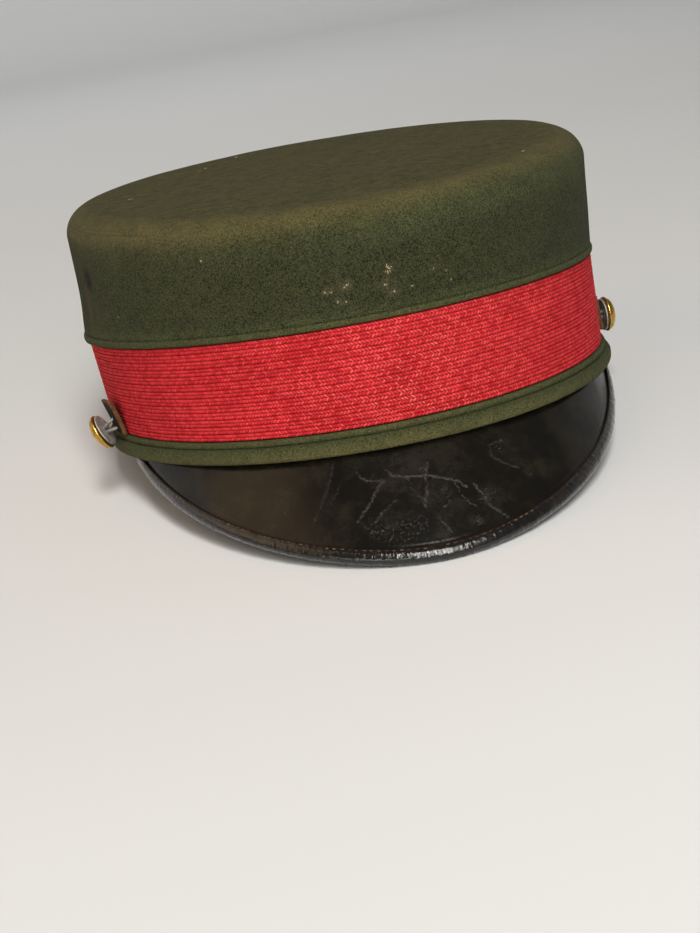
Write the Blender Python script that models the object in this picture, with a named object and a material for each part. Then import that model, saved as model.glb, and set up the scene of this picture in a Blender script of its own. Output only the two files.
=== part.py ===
"""A kepi: felt crown, red ribbed band, rolled edge trim, leather peak and two side buttons.

The cap is modelled upright on the plane of its head opening, with its front towards -Y. It is then
laid down as it rests by itself, on the back of its rolled edge and the front of its peak.
"""

import math

import bmesh
import bpy
from mathutils import Matrix, Vector

MM = 0.001

# Oval of the head opening, over the band at its lower edge
HALF_WIDTH = 84.2 * MM
HALF_LENGTH = 101.5 * MM
BACK_FULLNESS = 0.055
SIDES = 52

# Walls and the gap that neighbouring pieces keep
FELT = 2.5 * MM
CLEARANCE = 0.3 * MM

# Ribbed band
BAND_HEIGHT = 29.3 * MM
BAND_THICKNESS = 2.2 * MM
BAND_LEAN = 3.0 * MM
BAND_FLARE = 0.9 * MM
BAND_SWAY = 1.3 * MM
RIB_COUNT = 13
RIB_DEPTH = 0.7 * MM
RIB_SLOPE_SHARE = 0.2

# Crown above the band; its top slopes down to the front by CROWN_SLOPE from the middle
CROWN_HEIGHT = 42.3 * MM
CROWN_FLARE = 1.5 * MM
CROWN_SWAY = 1.5 * MM
CROWN_LEAN_BACK = 1.9 * MM
CROWN_SLOPE = 9.8 * MM
SHOULDER_RADIUS = 8.2 * MM
TOP_DOME = 0.8 * MM
TOP_FLAT_SHARE = 0.6

# Rounded lower edge of the crown's outside, and how far its inside steps out past that edge
LIP_INSET = 1.0 * MM
LIP_RISE = 0.75 * MM
STEP_BELOW = 1.0 * MM
STEP_ABOVE = 3.0 * MM

# Trim: a fold of felt above the band, a bead and a thicker roll below it
FOLD_HEIGHT = 2.2 * MM
FOLD_PROUD = 0.7 * MM
BEAD_HEIGHT = 1.7 * MM
BEAD_PROUD = 1.0 * MM
ROLL_HEIGHT = 4.4 * MM
ROLL_PROUD = 2.3 * MM
ROLL_COVER = 1.5 * MM

# Leather peak and its folded binding
LEATHER = 2.0 * MM
PEAK_REACH = 37.5 * MM
PEAK_DROOP = math.radians(44)
PEAK_SPREAD = math.radians(73)
PEAK_SEAT = 0.7 * MM
PEAK_END_SHARE = 0.985
PEAK_FULLNESS = 1.7
PEAK_ROUNDNESS = 0.75
PEAK_STATIONS = 44
BINDING_WIDTH = 3.0 * MM
BINDING_WALL = 0.7 * MM
BINDING_THINNED = 0.5 * MM
BINDING_CORNER = 0.15 * MM
BINDING_NARROWING = 0.6

# Strap tabs, one on each side
TAB_WIDTH = 10.5 * MM
TAB_HEIGHT = 12.0 * MM
TAB_LEATHER = 1.5 * MM
TAB_CURL = 1.5
TAB_CORNER = 3.4 * MM
TAB_CORNER_CUT = 1.75 * MM
TAB_SEGMENTS = 6
SLOT_DEPTH = 12.0 * MM
SLOT_HEIGHT = 6.6 * MM
SLOT_WIDTH = 3.4 * MM

# Buttons: brass cap, back plate and wire loop
BUTTON_RADIUS = 6.0 * MM
BUTTON_DOME = 2.5 * MM
BUTTON_RIM = 0.5 * MM
BUTTON_WALL = 0.5 * MM
PLATE_THICKNESS = 0.5 * MM
LOOP_LENGTH = 5.7 * MM
LOOP_WIDTH = 4.0 * MM
LOOP_FEET = 1.5 * MM
LOOP_WIRE = 0.9 * MM
BUTTON_HEIGHT = 4.5 * MM
BUTTON_SIDES = 16
DOME_SHARES = (0.0, 0.4, 0.7, 0.9)
DOME_INNER_SHARES = (0.7, 0.0)

# Each side: its place from the front, how far the tab's foot and top stand off the band, and how its
# button hangs. The right button sits on its tab; the left one has pulled out, and sags and swings on
# its loop. Pull is how far the loop's end lies outside the band's face.
SIDE_FITTINGS = {
    "right": {
        "side": 1,
        "from_front": math.radians(85.5),
        "foot_off": 1.0 * MM,
        "top_off": 0.0 * MM,
        "pull": -BAND_THICKNESS,
        "sag": math.radians(1),
        "swing": math.radians(7),
    },
    "left": {
        "side": -1,
        "from_front": math.radians(76.5),
        "foot_off": 0.0 * MM,
        "top_off": 2.0 * MM,
        "pull": 0.5 * MM,
        "sag": math.radians(24),
        "swing": math.radians(-27),
    },
}

# Ventilation holes
VENT_RADIUS = 2.3 * MM
VENT_ANGLE = math.radians(76)
VENT_HEIGHT = 23.5 * MM
VENT_SIDES = 12

# How far the felt roll and the peak's edge are pressed flat where the cap rests
ROLL_PRESS = 1.0 * MM
PEAK_PRESS = 0.4 * MM
STEEPEST_TIP = math.radians(-45)
TIP_HALVINGS = 40

# Points closer than WELD become one; the steps are for directions along the oval and the peak's edge
WELD = 0.01 * MM
ANGLE_STEP = 0.001
SHARE_STEP = 0.002
FRONT = -math.pi / 2

# Heights worked out from the sizes above; zero is the lower edge of the band
FOLD_TOP = BAND_HEIGHT + CLEARANCE + FOLD_HEIGHT
CROWN_FOOT = FOLD_TOP + CLEARANCE
CROWN_TOP = BAND_HEIGHT + CROWN_HEIGHT
SHOULDER_FOOT = CROWN_TOP - SHOULDER_RADIUS
BEAD_TOP = -CLEARANCE
ROLL_TOP = BEAD_TOP - BEAD_HEIGHT - CLEARANCE
ROLL_BOTTOM = ROLL_TOP - ROLL_HEIGHT
PEAK_ROOT = ROLL_BOTTOM - CLEARANCE

# Colour, roughness and metallic value of each finish
FINISHES = {
    "crown_felt": ((0.046, 0.052, 0.027), 0.95, 0.0),
    "band_braid": ((0.42, 0.024, 0.032), 0.85, 0.0),
    "trim_felt": ((0.040, 0.045, 0.020), 0.95, 0.0),
    "peak_leather": ((0.010, 0.009, 0.009), 0.22, 0.0),
    "binding_leather": ((0.008, 0.007, 0.007), 0.35, 0.0),
    "tab_leather": ((0.050, 0.030, 0.017), 0.60, 0.0),
    "button_brass": ((0.55, 0.33, 0.07), 0.25, 1.0),
    "button_steel": ((0.42, 0.41, 0.38), 0.40, 1.0),
}

# Section of the rolled trims: depth across the piece from back to front, and height, as shares
ROLL_SECTION = (
    (0.00, 1.00),
    (0.62, 1.00),
    (0.90, 0.84),
    (1.00, 0.50),
    (0.90, 0.16),
    (0.62, 0.00),
    (0.00, 0.00),
)


def clear_scene():
    for item in list(bpy.data.objects):
        bpy.data.objects.remove(item)


def finish(name):
    """The material of that name, made on first use."""
    if name in bpy.data.materials:
        return bpy.data.materials[name]
    colour, roughness, metallic = FINISHES[name]
    material = bpy.data.materials.new(name)
    material.use_nodes = True
    shader = material.node_tree.nodes["Principled BSDF"]
    shader.inputs["Base Color"].default_value = (*colour, 1.0)
    shader.inputs["Roughness"].default_value = roughness
    shader.inputs["Metallic"].default_value = metallic
    material.diffuse_color = (*colour, 1.0)
    return material


def object_from(bm, name, finish_name, parent, smooth_angle=40):
    """Closes a bmesh into a named object under a parent."""
    bmesh.ops.remove_doubles(bm, verts=bm.verts, dist=WELD)
    bmesh.ops.recalc_face_normals(bm, faces=bm.faces)
    mesh = bpy.data.meshes.new(name)
    bm.to_mesh(mesh)
    bm.free()
    mesh.shade_smooth()
    mesh.set_sharp_from_angle(angle=math.radians(smooth_angle))
    mesh.materials.append(finish(finish_name))
    made = bpy.data.objects.new(name, mesh)
    bpy.context.scene.collection.objects.link(made)
    made.parent = parent
    return made


def bent_grid(columns, rows, place):
    """A flat grid bent into a surface: place(column, row) gives where each of its corners goes."""
    bm = bmesh.new()
    bmesh.ops.create_grid(bm, x_segments=columns, y_segments=rows, size=0.5)
    for vert in bm.verts:
        column = round((vert.co.x + 0.5) * columns)
        row = round((vert.co.y + 0.5) * rows)
        vert.co = place(column, row)
    return bm


def closed_sweep(stations, section, place, capped=True):
    """A closed section carried along stations, with flat ends unless the path closes on itself."""
    count = len(section)
    bm = bent_grid(stations, count, lambda station, corner: place(station, section[corner % count]))
    bmesh.ops.remove_doubles(bm, verts=bm.verts, dist=WELD)
    if capped:
        open_edges = [edge for edge in bm.edges if edge.is_boundary]
        bmesh.ops.holes_fill(bm, edges=open_edges, sides=count)
    return bm


def share_of(value, low, high):
    return min(max((value - low) / (high - low), 0.0), 1.0)


def oval(angle):
    """The head opening's oval, a little fuller at the back."""
    fullness = 1 + BACK_FULLNESS * math.sin(angle)
    return Vector((HALF_WIDTH * math.cos(angle) * fullness, HALF_LENGTH * math.sin(angle), 0))


def oval_tangent(angle):
    return (oval(angle + ANGLE_STEP) - oval(angle - ANGLE_STEP)).normalized()


def oval_normal(angle):
    tangent = oval_tangent(angle)
    return Vector((tangent.y, -tangent.x, 0))


def wall_point(angle, height, outset=0.0, spread=1.0):
    """A point outset from the cap's side wall at that height; spread below 1 draws it to the middle."""
    up_band = share_of(height, 0, BAND_HEIGHT)
    up_crown = share_of(height, BAND_HEIGHT, SHOULDER_FOOT)
    drift = BAND_FLARE * up_band + CROWN_FLARE * up_crown
    point = (oval(angle) + oval_normal(angle) * (outset + drift)) * spread
    slope = CROWN_SLOPE * up_crown * point.y / HALF_LENGTH
    point.x += CROWN_SWAY * up_crown - BAND_SWAY * up_band
    point.y += CROWN_LEAN_BACK * up_crown - BAND_LEAN * up_band
    point.z = height + slope
    return point


def ring(name, finish_name, parent, section, sides=SIDES):
    """A closed ring round the cap, from its section of (height, outset) pairs."""
    def place(station, corner):
        height, outset = corner
        return wall_point(2 * math.pi * (station % sides) / sides, height, outset)

    return object_from(closed_sweep(sides, section, place, capped=False), name, finish_name, parent)


def shoulder(radius, outset, steps):
    """Profile rows of the rounded shoulder, from the side wall up to the top."""
    centre_height = CROWN_TOP - SHOULDER_RADIUS
    centre_inset = outset - radius
    rows = []
    for step in range(steps + 1):
        turn = math.pi / 2 * step / steps
        rows.append((centre_height + radius * math.sin(turn), centre_inset + radius * math.cos(turn), 1.0))
    return rows


def top_rows(height, inset):
    """Profile rows over the top: it rises a little, and its middle is flat."""
    return [(height + TOP_DOME, inset, TOP_FLAT_SHARE), (height + TOP_DOME, inset, 0.0)]


def crown_profile():
    """Rows of (height, outset, spread) up the outside to the middle of the top and down the inside."""
    tuck = BAND_THICKNESS + CLEARANCE
    foot = ROLL_BOTTOM + ROLL_COVER
    outer = [
        (foot, -tuck, 1.0),
        (0.0, -tuck, 1.0),
        (BAND_HEIGHT, -tuck, 1.0),
        (CROWN_FOOT, -tuck, 1.0),
        (CROWN_FOOT, -LIP_INSET, 1.0),
        (CROWN_FOOT + LIP_RISE, 0.0, 1.0),
        ((CROWN_FOOT + SHOULDER_FOOT) / 2, 0.0, 1.0),
    ]
    outer += shoulder(SHOULDER_RADIUS, 0.0, 4)
    outer += top_rows(CROWN_TOP, -SHOULDER_RADIUS)
    inner = [
        (foot, -tuck - FELT, 1.0),
        (0.0, -tuck - FELT, 1.0),
        (BAND_HEIGHT, -tuck - FELT, 1.0),
        (CROWN_FOOT - STEP_BELOW, -tuck - FELT, 1.0),
        (CROWN_FOOT + STEP_ABOVE, -FELT, 1.0),
    ]
    inner += shoulder(SHOULDER_RADIUS - FELT, -FELT, 3)
    inner += top_rows(CROWN_TOP - FELT, -SHOULDER_RADIUS)
    return outer + inner[::-1]


def cutter(name, bm, parent):
    """A hidden shape for a Boolean."""
    made = object_from(bm, name, "crown_felt", parent)
    made.hide_render = True
    made.display_type = "WIRE"
    return made


def boolean(target, other, operation):
    modifier = target.modifiers.new(other.name, "BOOLEAN")
    modifier.operation = operation
    modifier.object = other


def side_frame(angle, height, outset):
    """Frame on the side wall: X outwards, Y forwards along the wall, Z up."""
    outward = oval_normal(angle)
    along = Vector((0, 0, 1)).cross(outward)
    axes = Matrix((outward, along, Vector((0, 0, 1)))).transposed().to_4x4()
    return Matrix.Translation(wall_point(angle, height, outset)) @ axes


def side_angle(side, from_front):
    """Angle on the oval, side being 1 on the viewer's right and -1 on the left."""
    return FRONT + side * from_front


def crown(parent):
    profile = crown_profile()

    def place(station, row):
        height, outset, spread = row
        return wall_point(2 * math.pi * (station % SIDES) / SIDES, height, outset, spread)

    made = object_from(closed_sweep(SIDES, profile, place, capped=False), "crown", "crown_felt", parent)
    for name, side in (("right", 1), ("left", -1)):
        bm = bmesh.new()
        bmesh.ops.create_cone(
            bm,
            cap_ends=True,
            segments=VENT_SIDES,
            radius1=VENT_RADIUS,
            radius2=VENT_RADIUS,
            depth=4 * FELT,
            matrix=Matrix.Rotation(math.pi / 2, 4, "Y"),
        )
        frame = side_frame(side_angle(side, VENT_ANGLE), BAND_HEIGHT + VENT_HEIGHT, -FELT / 2)
        bm.transform(frame)
        boolean(made, cutter("vent_cutter_" + name, bm, parent), "DIFFERENCE")
    return made


def band(parent):
    """The red band: a rib is a flat-topped ridge between two narrow valleys."""
    pitch = BAND_HEIGHT / RIB_COUNT
    section = [(0.0, -RIB_DEPTH)]
    for rib in range(RIB_COUNT):
        section.append(((rib + RIB_SLOPE_SHARE) * pitch, 0.0))
        section.append(((rib + 1 - RIB_SLOPE_SHARE) * pitch, 0.0))
        section.append(((rib + 1) * pitch, -RIB_DEPTH))
    section += [(BAND_HEIGHT, -BAND_THICKNESS), (0.0, -BAND_THICKNESS)]
    made = ring("band", "band_braid", parent, section)
    for name, fitting in SIDE_FITTINGS.items():
        boolean(made, slot_cutter("band_slot_" + name, fitting, parent), "DIFFERENCE")
    return made


def rolled_section(top, height, proud):
    """Section of a rolled trim, from behind the band's face to its rounded front."""
    depth = BAND_THICKNESS + proud
    return [
        (top - height + up * height, out * depth - BAND_THICKNESS) for out, up in ROLL_SECTION
    ]


def trims(parent):
    ring("upper_welt", "trim_felt", parent, rolled_section(FOLD_TOP, FOLD_HEIGHT, FOLD_PROUD))
    ring("lower_welt", "trim_felt", parent, rolled_section(BEAD_TOP, BEAD_HEIGHT, BEAD_PROUD))
    return ring("base_roll", "trim_felt", parent, rolled_section(ROLL_TOP, ROLL_HEIGHT, ROLL_PROUD))


PEAK_WAY = Vector((0, -math.cos(PEAK_DROOP), -math.sin(PEAK_DROOP)))


def peak_reach(share):
    """How far the leather reaches from its root, share running from -1 to 1 across the peak."""
    return PEAK_REACH * (1 - abs(share) ** PEAK_FULLNESS) ** PEAK_ROUNDNESS


def peak_root(share):
    angle = FRONT + PEAK_SPREAD * share
    return wall_point(angle, PEAK_ROOT, -PEAK_SEAT)


def peak_edge(share):
    return peak_root(share) + PEAK_WAY * peak_reach(share)


def peak_normal(share):
    """Upward and outward normal of the peak's upper face."""
    return oval_tangent(FRONT + PEAK_SPREAD * share).cross(-PEAK_WAY).normalized()


def peak_share(station):
    """Stations lie closer together towards the peak's two ends."""
    turn = math.pi * (station / PEAK_STATIONS - 0.5)
    return PEAK_END_SHARE * (0.5 * math.sin(turn) + 0.5 * turn / (math.pi / 2))


def peak(parent):
    """The peak's leather, cut level at its root so that it seats under the roll."""
    def place(station, corner):
        out, under = corner
        share = peak_share(station)
        normal = peak_normal(share)
        point = peak_root(share) + PEAK_WAY * peak_reach(share) * out
        if not under:
            return point
        if out:
            return point - normal * LEATHER
        inward = -oval_normal(FRONT + PEAK_SPREAD * share)
        return point - inward * LEATHER / normal.dot(inward)

    section = [(0.0, False), (0.5, False), (1.0, False), (1.0, True), (0.5, True), (0.0, True)]
    return object_from(closed_sweep(PEAK_STATIONS, section, place), "peak", "peak_leather", parent, 60)


def binding_section():
    """A strip folded over the edge: distances inward and up from the upper corner of the leather."""
    over = CLEARANCE
    under = -LEATHER - CLEARANCE
    corner = -CLEARANCE - BINDING_THINNED
    return [
        (BINDING_WIDTH, over),
        (BINDING_WIDTH, over + BINDING_THINNED),
        (0.0, over + BINDING_WALL),
        (corner, over + BINDING_CORNER),
        (-CLEARANCE - BINDING_WALL, (over + under) / 2),
        (corner, under - BINDING_CORNER),
        (0.0, under - BINDING_WALL),
        (BINDING_WIDTH, under - BINDING_THINNED),
        (BINDING_WIDTH, under),
        (-CLEARANCE, under),
        (-CLEARANCE, over),
    ]


def peak_binding(parent):
    def place(station, corner):
        inward, up = corner
        share = peak_share(station)
        normal = peak_normal(share)
        along = (peak_edge(share + SHARE_STEP) - peak_edge(share - SHARE_STEP)).normalized()
        across = normal.cross(along)
        if inward > 0:
            inward = min(inward, BINDING_NARROWING * peak_reach(share))
        return peak_edge(share) + across * inward + normal * up

    bm = closed_sweep(PEAK_STATIONS, binding_section(), place)
    return object_from(bm, "peak_binding", "binding_leather", parent, 60)


def slot_cutter(name, fitting, parent):
    """A slot for a button's loop through the tab and the band."""
    bm = bmesh.new()
    bmesh.ops.create_cube(bm, size=1, matrix=Matrix.Diagonal((SLOT_DEPTH, SLOT_WIDTH, SLOT_HEIGHT, 1)))
    bm.transform(side_frame(side_angle(fitting["side"], fitting["from_front"]), BUTTON_HEIGHT, 0.0))
    return cutter(name, bm, parent)


def tab_outset(fitting, height):
    """How far the tab's back stands off the band, at its foot and at its free upper end."""
    up = share_of(height, 0, TAB_HEIGHT)
    return CLEARANCE + fitting["foot_off"] * (1 - up) ** TAB_CURL + fitting["top_off"] * up**TAB_CURL


def strap_tab(name, fitting, parent):
    """The stub of a strap, with rounded upper corners, held by the button."""
    middle = side_angle(fitting["side"], fitting["from_front"])
    bm = bmesh.new()
    bmesh.ops.create_cube(bm, size=1)
    edges_along = [edge for edge in bm.edges if abs((edge.verts[0].co - edge.verts[1].co).y) > 0.5]
    bmesh.ops.subdivide_edges(bm, edges=edges_along, cuts=TAB_SEGMENTS - 1, use_grid_fill=True)
    edges_up = [edge for edge in bm.edges if abs((edge.verts[0].co - edge.verts[1].co).z) > 0.5]
    bmesh.ops.subdivide_edges(bm, edges=edges_up, cuts=TAB_SEGMENTS - 1, use_grid_fill=True)
    for vert in bm.verts:
        height = TAB_HEIGHT * (vert.co.z + 0.5)
        rounding = share_of(height, TAB_HEIGHT - TAB_CORNER, TAB_HEIGHT)
        width = TAB_WIDTH - 2 * TAB_CORNER_CUT * rounding**2
        outset = tab_outset(fitting, height) + TAB_LEATHER * (vert.co.x > 0)
        vert.co = wall_point(middle + width * vert.co.y / HALF_LENGTH, height, outset)
    made = object_from(bm, name, "tab_leather", parent)
    boolean(made, slot_cutter(name + "_slot", fitting, parent), "DIFFERENCE")
    return made


def turned(profile, sides=BUTTON_SIDES):
    """A turned solid from its (radius, height) profile, which starts and ends on the axis."""
    def place(station, row):
        radius, height = profile[row]
        turn = 2 * math.pi * (station % sides) / sides
        return Vector((radius * math.cos(turn), radius * math.sin(turn), height))

    return bent_grid(sides, len(profile) - 1, place)


def button_cap(name, frame, parent):
    """A hollow brass dome with a rolled rim, open at the back where the plate closes it."""
    rim_height = 2 * BUTTON_RIM
    dome_radius = BUTTON_RADIUS - BUTTON_RIM
    profile = []
    for share in DOME_SHARES:
        profile.append((dome_radius * share, rim_height + BUTTON_DOME * math.sqrt(1 - share**2)))
    profile += [
        (dome_radius, rim_height),
        (BUTTON_RADIUS, rim_height - BUTTON_RIM / 2),
        (BUTTON_RADIUS, BUTTON_RIM / 2),
        (dome_radius, 0.0),
        (dome_radius - BUTTON_WALL, 0.0),
        (dome_radius - BUTTON_WALL, rim_height),
    ]
    inside = BUTTON_DOME - BUTTON_WALL
    for share in DOME_INNER_SHARES:
        profile.append(((dome_radius - BUTTON_WALL) * share, rim_height + inside * math.sqrt(1 - share**2)))
    bm = turned(profile)
    bm.transform(frame @ Matrix.Translation((0, 0, LOOP_LENGTH + PLATE_THICKNESS + CLEARANCE)))
    return object_from(bm, name, "button_brass", parent)


def wire_loop(sides=6, steps=8):
    """The loop's wire, from foot to foot: it widens from its feet in the plate to its round end."""
    half = (LOOP_WIDTH - LOOP_WIRE) / 2
    round_middle = half + LOOP_WIRE / 2
    foot = LOOP_LENGTH + PLATE_THICKNESS / 2
    path = [Vector((LOOP_FEET / 2, 0, foot))]
    for step in range(steps + 1):
        turn = math.pi * step / steps
        path.append(Vector((half * math.cos(turn), 0, round_middle - half * math.sin(turn))))
    path.append(Vector((-LOOP_FEET / 2, 0, foot)))
    section = [2 * math.pi * corner / sides for corner in range(sides)]

    def place(station, turn):
        before = path[max(station - 1, 0)]
        after = path[min(station + 1, len(path) - 1)]
        along = (after - before).normalized()
        across = Vector((0, 1, 0))
        other = along.cross(across)
        radius = LOOP_WIRE / 2
        return path[station] + across * radius * math.cos(turn) + other * radius * math.sin(turn)

    return closed_sweep(len(path) - 1, section, place)


def button_back(name, frame, parent):
    """Back plate with its wire loop soldered on."""
    radius = BUTTON_RADIUS - BUTTON_RIM
    profile = [(0.0, PLATE_THICKNESS), (radius, PLATE_THICKNESS), (radius, 0.0), (0.0, 0.0)]
    plate = turned(profile)
    plate.transform(frame @ Matrix.Translation((0, 0, LOOP_LENGTH)))
    made = object_from(plate, name, "button_steel", parent)
    loop = wire_loop()
    loop.transform(frame)
    boolean(made, cutter(name + "_loop", loop, parent), "UNION")
    return made


def button_frame(fitting):
    """Frame of a button: Z from its loop's end out through its dome."""
    angle = side_angle(fitting["side"], fitting["from_front"])
    swing = Matrix.Rotation(fitting["swing"], 4, "Z")
    sag = Matrix.Rotation(math.pi / 2 + fitting["sag"], 4, "Y")
    return side_frame(angle, BUTTON_HEIGHT, fitting["pull"]) @ swing @ sag


def lowest_when_tipped(objects, tip):
    """Lowest height of the objects' own corners once they are tipped about X."""
    turn = Matrix.Rotation(tip, 4, "X")
    return min((turn @ vert.co).z for item in objects for vert in item.data.vertices)


def rest_tip(front, back):
    """Tip at which the pressed front and back reach the floor together, found by halving."""
    low, high = STEEPEST_TIP, 0.0
    for _ in range(TIP_HALVINGS):
        middle = (low + high) / 2
        front_height = lowest_when_tipped(front, middle) + PEAK_PRESS
        back_height = lowest_when_tipped(back, middle) + ROLL_PRESS
        if front_height < back_height:
            high = middle
        else:
            low = middle
    return (low + high) / 2


def press_on_floor(item, rest):
    """Flattens what would reach below the floor."""
    back = rest.inverted()
    for vert in item.data.vertices:
        point = rest @ vert.co
        if point.z < 0:
            point.z = 0.0
            vert.co = back @ point


def lay_down(holder, front, back):
    """Tips the cap onto the floor with the middle of its outline at the origin."""
    tip = rest_tip(front, back)
    turn = Matrix.Rotation(tip, 4, "X")
    floor = lowest_when_tipped(back, tip) + ROLL_PRESS
    corners = [
        turn @ vert.co
        for item in holder.children
        if not item.hide_render
        for vert in item.data.vertices
    ]
    middle_x = (min(corner.x for corner in corners) + max(corner.x for corner in corners)) / 2
    middle_y = (min(corner.y for corner in corners) + max(corner.y for corner in corners)) / 2
    holder.location = (-middle_x, -middle_y, -floor)
    holder.rotation_euler = (tip, 0, 0)
    rest = Matrix.Translation(holder.location) @ turn
    for item in front + back:
        press_on_floor(item, rest)


def main():
    clear_scene()
    holder = bpy.data.objects.new("cap_at_rest", None)
    bpy.context.scene.collection.objects.link(holder)
    crown(holder)
    band(holder)
    base_roll = trims(holder)
    peak(holder)
    binding = peak_binding(holder)
    for name, fitting in SIDE_FITTINGS.items():
        strap_tab("strap_tab_" + name, fitting, holder)
        frame = button_frame(fitting)
        button_cap("button_cap_" + name, frame, holder)
        button_back("button_back_" + name, frame, holder)
    lay_down(holder, [binding], [base_roll])


main()
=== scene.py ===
import math
import random

import bmesh
import bpy
from mathutils import Matrix, Vector, noise


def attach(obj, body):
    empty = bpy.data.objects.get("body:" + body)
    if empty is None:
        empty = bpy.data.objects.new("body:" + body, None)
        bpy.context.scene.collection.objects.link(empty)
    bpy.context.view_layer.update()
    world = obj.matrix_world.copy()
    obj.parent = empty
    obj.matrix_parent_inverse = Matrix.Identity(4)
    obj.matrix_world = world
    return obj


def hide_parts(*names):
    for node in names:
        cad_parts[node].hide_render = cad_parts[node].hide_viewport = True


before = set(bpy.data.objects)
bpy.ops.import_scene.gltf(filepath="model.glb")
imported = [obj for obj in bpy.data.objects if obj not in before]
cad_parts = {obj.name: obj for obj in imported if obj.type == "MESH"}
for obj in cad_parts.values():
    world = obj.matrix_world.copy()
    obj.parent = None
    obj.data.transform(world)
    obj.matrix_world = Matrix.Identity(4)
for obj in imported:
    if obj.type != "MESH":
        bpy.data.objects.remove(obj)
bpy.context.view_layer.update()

MM = 0.001
FRONT = -math.pi / 2
WELD = 0.004 * MM

# The cap's own frame, upright on its opening, and how it lies on the floor
CAP_TIP = -0.1272825
CAP_PLACE = Vector((0.0001576, 0.0102787, 0.018605))
AT_REST = Matrix.Translation(CAP_PLACE) @ Matrix.Rotation(CAP_TIP, 4, "X")

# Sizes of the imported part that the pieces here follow
HALF_WIDTH = 84.2 * MM
HALF_LENGTH = 101.5 * MM
BACK_FULLNESS = 0.055
FELT = 2.5 * MM
CLEARANCE = 0.3 * MM
BAND_HEIGHT = 29.3 * MM
BAND_THICKNESS = 2.2 * MM
BAND_LEAN = 3.0 * MM
BAND_FLARE = 0.9 * MM
BAND_SWAY = 1.3 * MM
RIB_COUNT = 13
CROWN_HEIGHT = 42.3 * MM
CROWN_FLARE = 1.5 * MM
CROWN_SWAY = 1.5 * MM
CROWN_LEAN_BACK = 1.9 * MM
CROWN_SLOPE = 9.8 * MM
SHOULDER_RADIUS = 8.2 * MM
TOP_DOME = 0.8 * MM
TOP_FLAT_SHARE = 0.6
STEP_BELOW = 1.0 * MM
STEP_ABOVE = 3.0 * MM
FOLD_HEIGHT = 2.2 * MM
FOLD_PROUD = 0.7 * MM
BEAD_HEIGHT = 1.7 * MM
BEAD_PROUD = 1.0 * MM
ROLL_HEIGHT = 4.4 * MM
ROLL_PROUD = 2.3 * MM
ROLL_COVER = 1.5 * MM
LEATHER = 2.0 * MM
PEAK_REACH = 37.5 * MM
PEAK_DROOP = math.radians(44)
PEAK_SPREAD = math.radians(73)
PEAK_SEAT = 0.7 * MM
PEAK_END_SHARE = 0.985
PEAK_FULLNESS = 1.7
PEAK_ROUNDNESS = 0.75
BINDING_WIDTH = 3.0 * MM
BINDING_WALL = 0.7 * MM
BINDING_NARROWING = 0.6
TAB_WIDTH = 10.5 * MM
TAB_HEIGHT = 12.0 * MM
TAB_LEATHER = 1.5 * MM
TAB_CURL = 1.5
TAB_CORNER = 3.4 * MM
TAB_CORNER_CUT = 1.75 * MM
SLOT_DEPTH = 12.0 * MM
SLOT_HEIGHT = 6.6 * MM
SLOT_WIDTH = 3.4 * MM
BUTTON_RADIUS = 6.0 * MM
BUTTON_DOME = 2.5 * MM
BUTTON_RIM = 0.5 * MM
BUTTON_WALL = 0.5 * MM
PLATE_THICKNESS = 0.5 * MM
LOOP_LENGTH = 5.7 * MM
LOOP_WIDTH = 4.0 * MM
LOOP_FEET = 1.5 * MM
LOOP_WIRE = 0.9 * MM
BUTTON_HEIGHT = 4.5 * MM
VENT_RADIUS = 2.3 * MM
VENT_ANGLE = math.radians(76)
VENT_HEIGHT = 23.5 * MM

# Sizes of the dressed pieces alone: shallower ribs, and felt edges that nearly touch, with a crease between
RIB_DEPTH = 0.4 * MM
LIP_INSET = 0.05 * MM
LIP_RISE = 0.3 * MM
TRIM_REACH = 0.15 * MM

# Heights worked out from the sizes above; zero is the lower edge of the band
FOLD_TOP = BAND_HEIGHT + CLEARANCE + FOLD_HEIGHT
CROWN_FOOT = FOLD_TOP + CLEARANCE
CROWN_TOP = BAND_HEIGHT + CROWN_HEIGHT
SHOULDER_FOOT = CROWN_TOP - SHOULDER_RADIUS
BEAD_TOP = -CLEARANCE
ROLL_TOP = BEAD_TOP - BEAD_HEIGHT - CLEARANCE
ROLL_BOTTOM = ROLL_TOP - ROLL_HEIGHT
PEAK_ROOT = ROLL_BOTTOM - CLEARANCE
PEAK_WAY = Vector((0, -math.cos(PEAK_DROOP), -math.sin(PEAK_DROOP)))

# Each side's tab and button, named as the viewer sees them: how far round they sit, how far the tab stands
# off at its foot and top, how the button is pulled out, sags and swings, and how bare the tab's leather is
SIDE_FITTINGS = {
    "right": {
        "side": 1,
        "from_front": math.radians(85.5),
        "foot_off": 1.0 * MM,
        "top_off": 0.0 * MM,
        "pull": -BAND_THICKNESS,
        "sag": math.radians(1),
        "swing": math.radians(7),
        "bare": 0.8,
    },
    "left": {
        "side": -1,
        "from_front": math.radians(76.5),
        "foot_off": 0.0 * MM,
        "top_off": 2.0 * MM,
        "pull": 0.5 * MM,
        "sag": math.radians(24),
        "swing": math.radians(-27),
        "bare": 0.0,
    },
}

# How finely each piece is meshed
CROWN_COLUMNS = 360
CROWN_SIDE_STEPS = 44
SHOULDER_STEPS = 40
TOP_STEPS = 56
INNER_SHOULDER_STEPS = 8
INNER_TOP_STEPS = 12
LIP_STEPS = 4
BAND_COLUMNS = 700
TRIM_COLUMNS = 480
PEAK_COLUMNS = 540
PEAK_ROWS = 148
UNDERSIDE_ROWS = 12
BINDING_COLUMNS = 800
BINDING_FOLD_STEPS = 8
TRIM_STEPS = 14
TAB_CUTS = 23
TAB_THROUGH_CUTS = 3
BUTTON_SIDES = 64
DOME_STEPS = 14
INNER_DOME_STEPS = 8
BUTTON_RIM_STEPS = 9
LOOP_SIDES = 16
LOOP_STEPS = 24
STITCH_STATIONS = 2000


# Shapes shared by the pieces

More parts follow.
